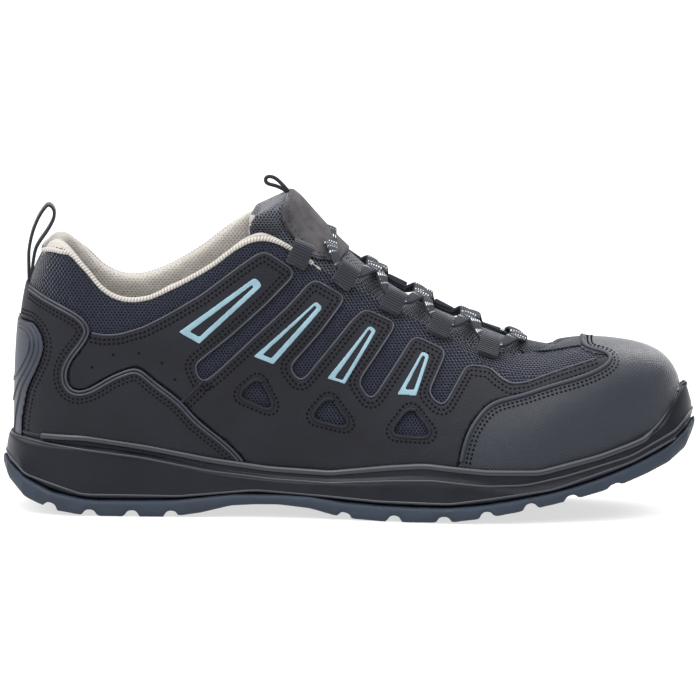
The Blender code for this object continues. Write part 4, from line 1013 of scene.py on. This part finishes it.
class TRAINER_OT_panels(bpy.types.Operator):
    """Lay the leather side panels with their fingers and windows."""
    bl_idname = "trainer.panels"
    bl_label = "Side panels"

    def execute(self, context):
        sizes = context.scene.trainer_sizes
        holes = [filleted([(x, z, 2.0) for x, z in window]) for window in WINDOWS]
        for side, label in SIDES:
            holes_here = holes + [behind(counter_line(0.35)), ahead(cap_line(0.2))]
            piece = layer("side_panel_" + label, 0.0001, 0.0001 + sizes.overlay, panel_outline(),
                          *HALVES[side], holes_here)
            dress(tidy(piece, 60), "leather", "panel", "quarter_panel_" + label)
        return {'FINISHED'}


class TRAINER_OT_toe_cap(bpy.types.Operator):
    """Lay the toe cap's shell; its raised rear edge is laid with the rims."""
    bl_idname = "trainer.toe_cap"
    bl_label = "Toe cap"

    def execute(self, context):
        sizes = context.scene.trainer_sizes
        piece = layer("toe_cap_shell", -0.0003, sizes.overlay - 0.0004, ahead(cap_line()),
                      voxel=0.0009)
        box_unwrap(piece)
        dress(tidy(piece, 60), "cap", "toe_cap", "toe_cap")
        return {'FINISHED'}


class TRAINER_OT_heel(bpy.types.Operator):
    """Lay the heel counter and the moulded heel pad."""
    bl_idname = "trainer.heel"
    bl_label = "Heel counter and pad"

    def execute(self, context):
        sizes = context.scene.trainer_sizes
        piece = layer("heel_counter_leather", 0.0001, 0.0002 + sizes.overlay,
                      behind(counter_line()), holes=[behind(pad_line(0.3))], voxel=0.0009)
        dress(tidy(piece, 60), "leather", "panel", "heel_counter")
        piece = layer("heel_pad_moulding", 0.0001, sizes.pad, behind(pad_line()), voxel=0.0006)
        dress(tidy(piece, 60), "pad", "heel_pad", "heel_pad")
        return {'FINISHED'}


class TRAINER_OT_trims(bpy.types.Operator):
    """Lay the hollow reflective wedges on the panel's fingers."""
    bl_idname = "trainer.trims"
    bl_label = "Reflective trims"

    def execute(self, context):
        sizes = context.scene.trainer_sizes
        base = 0.0001 + sizes.overlay
        for side, label in SIDES:
            for number, (outer, inner) in enumerate(TRIMS, 1):
                piece = layer("trim_%s_%d" % (label, number), base - 0.0002, base + sizes.trim,
                              filleted(outer), *HALVES[side], [filleted(inner)], 0.00033, 1)
                dress(tidy(piece, 60), "trim", "panel")
        return {'FINISHED'}


def framed(path, normals, closed=False):
    """For each point of a path, itself and its ways across and up, where the normals look up."""
    frames = []
    count = len(path)
    for i, point in enumerate(path):
        before = path[i - 1] if i or closed else path[0]
        after = path[(i + 1) % count] if i + 1 < count or closed else path[-1]
        way = (after - before).normalized()
        across = way.cross(normals[i]).normalized()
        frames.append((point, across, across.cross(way).normalized()))
    return frames


def run_profile(name, path, normals, profile, closed=False, scales=None):
    """A profile swept along a path: a grid rolled into a tube and closed at its ends. Its UV map
    is in metres, u across from the middle and v along."""
    round_count, length_count = len(profile), len(path) if closed else len(path) - 1
    piece = grid(name, round_count, length_count)
    mesh = piece.data
    flat = points_of(mesh)
    turn = np.rint((flat[:, 0] + 0.5) * round_count).astype(int)
    step = np.rint((flat[:, 1] + 0.5) * length_count).astype(int)
    frames = framed(path, normals, closed)
    runs = [0.0]
    for i in range(1, length_count + 1):
        runs.append(runs[-1] + (path[i % len(path)] - path[i - 1]).length)
    around = [profile[i % round_count] for i in range(round_count + 1)]
    placed = np.empty_like(flat)
    for i in range(len(flat)):
        point, across, up = frames[step[i] % len(path)]
        side, rise = around[turn[i]]
        scale = scales[step[i]] if scales else 1.0
        placed[i] = point + across * side * scale + up * rise / scale ** 0.5
    corner = corners_of(mesh)
    lay_uv(mesh, np.stack(([around[t][0] for t in turn[corner]], np.array(runs)[step[corner]]),
                          axis=1))
    mesh.vertices.foreach_set("co", placed.ravel())
    edit_all()
    bpy.ops.mesh.remove_doubles(threshold=0.000001)
    if not closed:
        bpy.ops.mesh.fill_holes(sides=round_count)
    bpy.ops.mesh.select_all(action='SELECT')
    bpy.ops.mesh.normals_make_consistent(inside=False)
    bpy.ops.object.mode_set(mode='OBJECT')
    return piece


def tube_profile(width, height, count=8, power=2.0):
    """A rounded profile: a circle, or flatter with a higher power."""
    found = []
    for i in range(count):
        angle = math.tau * i / count
        c, s = math.cos(angle), math.sin(angle)
        found.append((width / 2 * math.copysign(abs(c) ** (2 / power), c),
                      height / 2 * math.copysign(abs(s) ** (2 / power), s)))
    return found


def skin_path(line, side, lift, pitch=0.6, skin=Skin):
    """A side-view line laid on the upper's side, as points and the ways out of it."""
    points, normals = [], []
    for place in spaced(line, pitch):
        point, normal = on_skin(place[0], place[1], side, lift, skin)
        if point is not None:
            points.append(point)
            normals.append(normal)
    return points, normals


def unbroken(points, normals, jump=0.004, least=8):
    """The parts of a path between places where it jumps."""
    found, start = [], 0
    for i in range(1, len(points) + 1):
        if i == len(points) or (points[i] - points[i - 1]).length > jump:
            if i - start >= least:
                found.append((points[start:i], normals[start:i]))
            start = i
    return found


def eased(values, reach=2, passes=2):
    """Points evened out along a path, its ends kept."""
    for _ in range(passes):
        found = []
        for i in range(len(values)):
            span = min(reach, i, len(values) - 1 - i)
            some = values[i - span:i + span + 1]
            found.append(sum(some, Vector((0, 0, 0))) / len(some))
        values = found
    return values


def joined(name, pieces):
    """Several pieces as one."""
    unselect()
    for piece in pieces:
        piece.select_set(True)
    bpy.context.view_layer.objects.active = pieces[0]
    bpy.ops.object.join()
    pieces[0].name = name
    return pieces[0]


def rims(name, lines, side, width, height, lift, power=2.0, pitch=0.9, skin=Skin):
    """Raised cords along side-view lines on one side of the upper."""
    made = []
    for line in lines:
        for points, normals in unbroken(*skin_path(line, side, lift, pitch, skin)):
            made.append(run_profile("rim", eased(points), eased(normals),
                                    tube_profile(width, height, 8, power)))
    piece = joined(name, made)
    return tidy(piece, 70)


def cast_down(tree, x, y):
    """The highest place of a surface over a point of the ground."""
    return tree.ray_cast(Vector((x, y, 0.3)), Vector((0, 0, -1)))[0]


def tree_of(piece):
    return BVHTree.FromPolygons([v.co.copy() for v in piece.data.vertices],
                                [p.vertices[:] for p in piece.data.polygons])


def along(points, normals, pitch, first=0.0):
    """Places at an even pitch along a path in space, with their ways out and along."""
    found = []
    left = first
    for i in range(len(points) - 1):
        run = (points[i + 1] - points[i]).length
        if run > 0.004:
            left = first
            continue
        while left <= run and run > 0:
            t = left / run
            way = (points[i + 1] - points[i]).normalized()
            place = points[i].lerp(points[i + 1], t)
            found.append((place, normals[i].lerp(normals[i + 1], t), way))
            left += pitch
        left -= run
    return found


def scatter(name, seed, places):
    """One mesh of many copies of a small piece, each turned to its own place."""
    base = points_of(seed.data)
    polygons = [tuple(p.vertices) for p in seed.data.polygons]
    points, faces = [], []
    for place, normal, way in places:
        way = (way - normal * way.dot(normal)).normalized()
        across = normal.cross(way).normalized()
        turn = np.array([way, across, normal])
        faces += [tuple(v + len(points) * len(base) for v in polygon) for polygon in polygons]
        points.append(base @ turn + np.array(place))
    mesh = bpy.data.meshes.new(name)
    mesh.from_pydata(np.concatenate(points).tolist(), [], faces)
    piece = bpy.data.objects.new(name, mesh)
    bpy.context.scene.collection.objects.link(piece)
    bpy.data.objects.remove(seed, do_unlink=True)
    pick(piece)
    bpy.ops.object.shade_smooth()
    return piece


def ball_seed(size, segments, rings, rotation=(0, 0, 0)):
    """A ball drawn out to a size, for one stitch or one pierced hole."""
    unselect()
    bpy.ops.mesh.primitive_uv_sphere_add(segments=segments, ring_count=rings, radius=0.5,
                                         location=(0, 0, 0), rotation=rotation)
    seed = bpy.context.object
    bpy.ops.object.transform_apply(location=False, rotation=True, scale=False)
    edit_all()
    bpy.ops.transform.resize(value=size)
    bpy.ops.object.mode_set(mode='OBJECT')
    return seed


def stitch_seed(length, thickness):
    return ball_seed((length, thickness * 1.15, thickness), 6, 4, (0, math.pi / 2, 0))


def window_rings(distance):
    rings = []
    for window in WINDOWS:
        ring = filleted([(x, z, 2.0) for x, z in window])
        ring = moved(ring + [ring[0]], -distance)
        rings.append(ring + [ring[0]])
    return rings


# The front part of the panel lies over the rear part from the first gap's foot to the counter.
LAP = ((87.2, 60.2), (84.0, 56.6), (80.6, 53.2), (77.0, 49.8))


def finger_edge(distance):
    line = moved(filleted(PANEL_EDGE, closed=False), -distance)
    return [point for point in line if (point[0] > 38.0 or point[1] < 70.0) and point[0] < 259.0]


def counter_front(distance):
    """The counter's edge from the collar down to the sole, without its run round the heel."""
    return [point for point in counter_line(distance) if point[0] > 12.0 and point[1] > 24.0]


def cap_rear(distance, lift):
    """The cap's rear edge from side to side over the toe, moved forwards along the surface."""
    sides = []
    for side in (LATERAL, MEDIAL):
        line = [point for point in cap_line() if point[1] > 27.0]
        sides.append(skin_path(line, side, 0.0, 0.12)[0])
    line = eased(spaced(sides[0] + sides[1][::-1], 0.0008), 3, 3)
    flat = np.array([tuple(point) for point in line])
    found, ways_out = [], []
    for i, point in enumerate(line):
        normal = outward(point)[1]
        way = heading(line, i).normalized()
        place, normal = outward(point + way.cross(normal) * distance)
        gap = np.sqrt(((flat - np.array(place)) ** 2).sum(axis=1)).min()
        if gap > abs(distance) * 0.93 - 0.00002:
            found.append(place)
            ways_out.append(normal)
    ways_out = eased(ways_out, 4, 2)
    return [place + way * lift for place, way in zip(eased(found, 2, 2), ways_out)], ways_out


def outward(point):
    """The nearest place of the skin, and the way out of it."""
    place, normal, _, _ = Skin.tree.find_nearest(point)
    middle = Vector(axis_of(np.array([point]))[0])
    return place, normal if normal.dot(point - middle) > 0 else -normal


def stitch_lines():
    """The side-view rows of stitches on the panels and counter."""
    lap = [Vector(point) for point in LAP]
    return [finger_edge(2.3), finger_edge(4.2)] + window_rings(2.9) + [
        counter_front(-3.7), counter_front(-5.3), moved(lap, 2.2), moved(lap, 4.0),
        pad_line(2.6), pad_line(4.2)]


class TRAINER_OT_rims(bpy.types.Operator):
    """Raise the rims of the fingers, windows, counter and toe cap."""
    bl_idname = "trainer.rims"
    bl_label = "Raised rims"

    def execute(self, context):
        sizes = context.scene.trainer_sizes
        top = 0.0001 + sizes.overlay
        for side, label in SIDES:
            lap = [Vector(point) for point in LAP]
            # The finger and counter rims take the pale edge finish, a painted highlight along the
            # edges.
            for name, lines, width, height, lift, finish, slot in (
                    ("finger_rims_", [finger_edge(0.35)], 0.0009, 0.0007, top - 0.0001,
                     "edge", "panel"),
                    ("window_rims_", window_rings(0.85) + [lap], 0.0017, 0.0012, top,
                     "leather", "panel"),
                    ("counter_rims_", [counter_front(-0.5), counter_front(-1.9)], 0.0011, 0.0010,
                     top + 0.0002, "edge", "panel"),
                    ("pad_ridges_", [pad_line(-0.5), pad_line(-2.2), pad_line(-3.9)],
                     0.0011, 0.0012, sizes.pad, "pad", "heel_pad")):
                dress(rims(name + label, lines, side, width, height, lift), finish, slot)
        rim = run_profile("cap_rim", *cap_rear(0.0010, top - 0.0003),
                          tube_profile(0.0021, 0.0019, 10))
        dress(tidy(rim, 70), "cap_rim", "toe_cap")
        return {'FINISHED'}


class TRAINER_OT_stitching(bpy.types.Operator):
    """Sew the stitch rows along the overlays and pierce the panel."""
    bl_idname = "trainer.stitching"
    bl_label = "Stitching and piercings"

    def execute(self, context):
        sizes = context.scene.trainer_sizes
        top = 0.0001 + sizes.overlay
        places = []
        for distance in (0.0032, 0.0049):
            places += along(*cap_rear(distance, sizes.overlay - 0.0004), sizes.pitch)
        for side in (LATERAL, MEDIAL):
            for line in stitch_lines():
                points, normals = skin_path(line, side, top)
                places += along(points, normals, sizes.pitch)
        # The stitches are near-black: the dark thread and the painted shade of its sunk holes.
        piece = scatter("stitches", stitch_seed(sizes.stitch, sizes.thread), places)
        dress(piece, "dark", "panel")
        # Each piercing is a near-black flattened ball: the painted shade inside the hole.
        seed = ball_seed((0.0013, 0.0013, 0.0004), 16, 6)
        places = []
        for side in (LATERAL, MEDIAL):
            for x, z in PIERCINGS:
                point, normal = on_skin(x, z, side, top)
                places.append((point, normal, Vector((1, 0, 0))))
        dress(scatter("piercings", seed, places), "dark", "panel")
        return {'FINISHED'}


class TRAINER_OT_tongue(bpy.types.Operator):
    """Round the padded tongue and lay its bare patch and cord loop."""
    bl_idname = "trainer.tongue"
    bl_label = "Tongue"

    def execute(self, context):
        piece = sewn_copy("tongue", "tongue_padding")
        subdivide(piece, 3)
        mesh = piece.data
        points = points_of(mesh)
        normals = np.zeros(len(mesh.vertices) * 3)
        mesh.vertices.foreach_get("normal", normals)
        backward = np.clip(0.25 - normals.reshape(-1, 3)[:, 0] * 1.6, 0.0, 1.0)
        points[:, 0] -= np.interp(points[:, 2] / MM, *zip(*TONGUE_SWELL)) * MM * backward
        mesh.vertices.foreach_set("co", points.ravel())
        mesh.update()
        mesh = evened(piece, 0.0009, 26).data
        TongueSkin.piece = piece
        TongueSkin.tree = tree_of(piece)
        normals = face_values(mesh, "normal")
        TongueSkin.outside = normals[:, 0] * 0.64 + normals[:, 2] * 0.77 > -0.45
        box_unwrap(piece)
        dress(tidy(piece, 60), ("tongue", "lining"), "upper", "tongue")
        centres = face_values(mesh, "center")
        back = (normals[:, 0] < -0.62) & (centres[:, 2] > 0.08) & (centres[:, 2] < 0.127)
        mesh.polygons.foreach_set("material_index", back.astype(np.int32))
        edge = flowing(BADGE_EDGE)
        outline = edge + [Vector(point) for point in BADGE_CLOSE]
        patch = layer("tongue_patch", 0.0001, 0.0016, outline, skin=TongueSkin)
        dress(tidy(patch, 60), "badge", "badge", "tongue_badge")
        places = []
        for side, label in SIDES:
            lines = [moved(edge[:-5], 0.3)]
            # The patch's rim takes the pale edge finish, a painted highlight.
            dress(rims("patch_rim_" + label, lines, side, 0.0010, 0.0009, 0.0015, skin=TongueSkin),
                  "edge", "badge")
            row = skin_path(moved(edge[:-5], 1.9), side, 0.0016, skin=TongueSkin)
            places += along(*row, 0.0024)
        seed = stitch_seed(0.0015, 0.0005)
        dress(scatter("patch_stitches", seed, places), "thread", "badge")
        path = middle_path(CORD_LOOP)
        ways_out = [Vector((0, 1, 0))] * len(path)
        cord = run_profile("tongue_cord_loop", path, ways_out, tube_profile(0.0017, 0.0016, 10))
        dress(tidy(cord, 70), "webbing", "lace", "tongue_loop")
        return {'FINISHED'}


class TRAINER_OT_throat(bpy.types.Operator):
    """Drape the cloth that closes the throat's foot over the tongue and the vamp."""
    bl_idname = "trainer.throat"
    bl_label = "Throat foot"

    def execute(self, context):
        piece = grid("throat_foot", 34, 28)
        points = points_of(piece.data)
        rows = points[:, 1].round(4)
        for i, (across_x, across_y, _) in enumerate(points):
            round_off = 1.0 - 0.35 * max(0.0, -across_x * 2) ** 2
            x, y = (238.0 - HEEL_BACK + across_x * 28.0) * MM, across_y * 23.0 * round_off * MM
            hits = [cast_down(skin.tree, x, y) for skin in (Skin, TongueSkin)]
            heights = [hit.z for hit in hits if hit]
            points[i] = (x, y, max(heights, default=0.0) + 0.0002)
        for row in np.unique(rows):
            here = rows == row
            found = points[here & (points[:, 2] > 0.05)]
            found = found[np.argsort(found[:, 0])]
            points[here, 2] = np.interp(points[here, 0], found[:, 0], found[:, 2])
        piece.data.vertices.foreach_set("co", points.ravel())
        piece.data.update()
        modify(piece, 'SMOOTH', factor=0.5, iterations=6)
        modify(piece, 'SOLIDIFY', thickness=0.0009, offset=1.0)
        soften_edges(piece, 0.0003, 2, 50)
        box_unwrap(piece)
        dress(tidy(piece, 60), "cloth", "upper")
        return {'FINISHED'}


def rib_unwrap(piece, along_ribs, over_ribs):
    """A UV map in metres with u along the ribs and v over them."""
    points = points_of(piece.data)[corners_of(piece.data)]
    lay_uv(piece.data, np.stack((points @ np.array(along_ribs), points @ np.array(over_ribs)),
                                axis=1))


def softened(node, name, steps=2):
    """A flat CAD strip with its long edges kept crisp and the rest rounded."""
    piece = sewn_copy(node, name)
    soften_edges(piece, 0.00028, 1, 50)
    return subdivide(piece, steps)


class TRAINER_OT_webbing(bpy.types.Operator):
    """Round the webbing lace loops and sweep the pull loop at the heel."""
    bl_idname = "trainer.webbing"
    bl_label = "Webbing loops"

    def execute(self, context):
        for label in ("lateral", "medial"):
            for number in range(1, 6):
                node = "lace_loop_%s_%d" % (label, number)
                piece = softened(node, "webbing_%s_%d" % (label, number))
                _, way, _, inward = loop_frame(label, number)
                rib_unwrap(piece, way, inward)
                dress(tidy(piece, 60), "webbing", "webbing", node)
        path = spaced(middle_path(PULL_LOOP), 0.0011)
        ways = [heading(path, i) for i in range(len(path))]
        ways_out = [Vector((-way.z, 0.0, way.x)).normalized() for way in ways]
        strap = run_profile("heel_pull_webbing", path, ways_out,
                            tube_profile(0.0095, 0.0015, 14, 5.0))
        dress(tidy(strap, 50), "webbing", "webbing", "heel_pull_loop")
        return {'FINISHED'}


def loop_frame(label, number):
    """A webbing loop's middle, its ways along the throat and out of the upper, and its way in
    towards the shoe's middle.
    """
    low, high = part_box("lace_loop_%s_%d" % (label, number))
    centre = (low + high) / 2
    ends = [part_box("lace_loop_%s_%d" % (label, n))
            for n in (max(number - 1, 1), min(number + 1, 5))]
    way = ((ends[1][0] + ends[1][1]) - (ends[0][0] + ends[0][1])).normalized()
    side = LATERAL if label == "lateral" else MEDIAL
    out = Vector((0.0, side * 0.75, 1.0))
    out = (out - way * out.dot(way)).normalized()
    inward = out.cross(way) * (1 if side == LATERAL else -1)
    if inward.y * side > 0:
        inward = -inward
    return centre, way, out, inward.normalized()


def strand(name, start, end, tree, over, bow=0.0):
    """One lace run: out of a webbing loop, over the tongue and into the loop on the other side."""
    first, last = loop_frame(*start[:2]), loop_frame(*end[:2])
    sizes = bpy.context.scene.trainer_sizes
    knots = []
    for (centre, way, out, inward), leaves in ((first, start[2]), (last, end[2])):
        middle = centre + inward * 0.0022 + out * 0.0004
        knots.append((middle, middle + way * leaves * 0.0052 + out * 0.0006 + inward * 0.0010,
                      middle + way * leaves * 0.0092 + inward * 0.0068 + out * 0.0014, out))
    (a0, a1, a2, a_out), (b0, b1, b2, b_out) = knots
    height = sizes.lace * 0.13 + 0.0004 + over
    across = []
    for share in (0.25, 0.5, 0.75):
        place = a2.lerp(b2, share)
        place.x += bow * (1 - (2 * share - 1) ** 2)
        hit = cast_down(tree, place.x, place.y)
        lift = height * (1 - abs(2 * share - 1) * 0.5)
        if hit is not None:
            place.z = max(hit.z + lift, place.z * 0.5 + (hit.z + lift) * 0.5)
        across.append(place)
    path = spaced(flowing([a0, a1, a2] + across + [b2, b1, b0], 6), 0.0009)
    middle = Vector((0.35, 0.0, 1.0)).normalized()
    normals, widths = [], []
    for i in range(len(path)):
        share = i / (len(path) - 1)
        near = min(share, 1 - share)
        out = a_out if share < 0.5 else b_out
        normals.append(out.lerp(middle, min(near * 3.0, 1.0)).normalized())
        widths.append(0.55 + 0.45 * min(near / 0.3, 1.0) ** 1.5)
    return run_profile(name, path, eased(normals, 3),
                       tube_profile(sizes.lace, sizes.lace * 0.26, 14, 2.8), scales=widths)


class TRAINER_OT_laces(bpy.types.Operator):
    """Run the flat lace from loop to loop over the tongue."""
    bl_idname = "trainer.laces"
    bl_label = "Laces"

    def execute(self, context):
        tree = tree_of(bpy.data.objects["tongue_padding"])
        for number in (2, 3, 4):
            under = strand("lace_under_%d" % number, ("medial", number, 1),
                           ("lateral", number + 1, -1), tree, 0.0006)
            over = strand("lace_over_%d" % number, ("lateral", number, 1),
                          ("medial", number + 1, -1), tree, 0.0026)
            piece = joined("lace_crossing_%d" % (number - 1), [under, over])
            dress(tidy(piece, 70), "lace", "lace", "lace_cross_%d" % (number - 1))
        piece = strand("lace_toe_run", ("lateral", 5, 1), ("medial", 5, 1), tree, 0.0006, 0.003)
        dress(tidy(piece, 70), "lace", "lace", "lace_bar_toe")
        piece = strand("lace_top_run", ("lateral", 2, -1), ("medial", 2, -1), tree, 0.0008, -0.002)
        dress(tidy(piece, 70), "lace", "lace", "lace_bar_top")
        return {'FINISHED'}


class TRAINER_OT_stage(bpy.types.Operator):
    """Set the pale floor, the soft lights and the camera of the picture."""
    bl_idname = "trainer.stage"
    bl_label = "Floor, lights and camera"

    def execute(self, context):
        unselect()
        bpy.ops.mesh.primitive_plane_add(size=60.0, location=(0, 0, 0))
        floor = bpy.context.object
        floor.name = "floor"
        paint = Paint("pale_floor", Specular_IOR_Level=0.2)
        cloud = paint.noise(paint.place(), 900.0, 1.0)
        tint = paint.mix(cloud, (0.33, 0.33, 0.33), (0.36, 0.36, 0.36))
        floor.data.materials.append(paint.set(
            Base_Color=tint, Roughness=0.9, Emission_Color=(0.95, 0.95, 0.95, 1.0),
            Emission_Strength=0.68))
        world = bpy.data.worlds.new("studio")
        context.scene.world = world
        world.use_nodes = True
        background = world.node_tree.nodes["Background"].inputs
        background["Color"].default_value = (1, 1, 1, 1)
        background["Strength"].default_value = 0.65
        target = Vector(TARGET)
        for name, kind, place, size, power in LIGHTS:
            light = bpy.data.lights.new(name, kind)
            if kind == 'SUN':
                light.angle = math.radians(size)
            else:
                light.shape = 'DISK'
                light.size = size
            light.energy = power
            lamp = bpy.data.objects.new(name, light)
            context.scene.collection.objects.link(lamp)
            lamp.location = place
            lamp.rotation_euler = (target - Vector(place)).to_track_quat('-Z', 'Y').to_euler()
        lens = bpy.data.cameras.new("camera")
        lens.sensor_width = SENSOR
        lens.lens = SENSOR * CAMERA_AWAY / VIEW_WIDTH
        camera = bpy.data.objects.new("camera", lens)
        context.scene.collection.objects.link(camera)
        tilt = math.radians(CAMERA_TILT)
        back = Vector((0.0, -math.cos(tilt), math.sin(tilt)))
        camera.location = target + back * CAMERA_AWAY
        camera.rotation_euler = (-back).to_track_quat('-Z', 'Y').to_euler()
        camera.rotation_euler.rotate_axis('Z', math.radians(CAMERA_ROLL))
        context.scene.camera = camera
        context.scene.view_settings.view_transform = 'Standard'
        return {'FINISHED'}


class TRAINER_PT_panel(bpy.types.Panel):
    """The trainer's pieces in the sidebar."""
    bl_idname = "TRAINER_PT_panel"
    bl_label = "Safety trainer"
    bl_space_type = 'VIEW_3D'
    bl_region_type = 'UI'
    bl_category = "Trainer"

    def draw(self, context):
        for group in (context.scene.trainer_sizes, context.scene.trainer_colours):
            for name in group.__annotations__:
                self.layout.prop(group, name)
        for kind in OPERATORS:
            self.layout.operator(kind.bl_idname)


OPERATORS = (
    TRAINER_OT_upper, TRAINER_OT_sole, TRAINER_OT_panels, TRAINER_OT_toe_cap, TRAINER_OT_heel,
    TRAINER_OT_trims, TRAINER_OT_rims, TRAINER_OT_stitching, TRAINER_OT_tongue,
    TRAINER_OT_throat, TRAINER_OT_webbing, TRAINER_OT_laces, TRAINER_OT_stage)
CLASSES = (TrainerSizes, TrainerColours) + OPERATORS + (TRAINER_PT_panel,)


def register():
    for kind in CLASSES:
        bpy.utils.register_class(kind)
    bpy.types.Scene.trainer_sizes = bpy.props.PointerProperty(type=TrainerSizes)
    bpy.types.Scene.trainer_colours = bpy.props.PointerProperty(type=TrainerColours)


def unregister():
    del bpy.types.Scene.trainer_sizes
    del bpy.types.Scene.trainer_colours
    for kind in reversed(CLASSES):
        bpy.utils.unregister_class(kind)


def main():
    register()
    for kind in OPERATORS:
        group, name = kind.bl_idname.split(".")
        getattr(getattr(bpy.ops, group), name)()


if __name__ == "__main__":
    main()
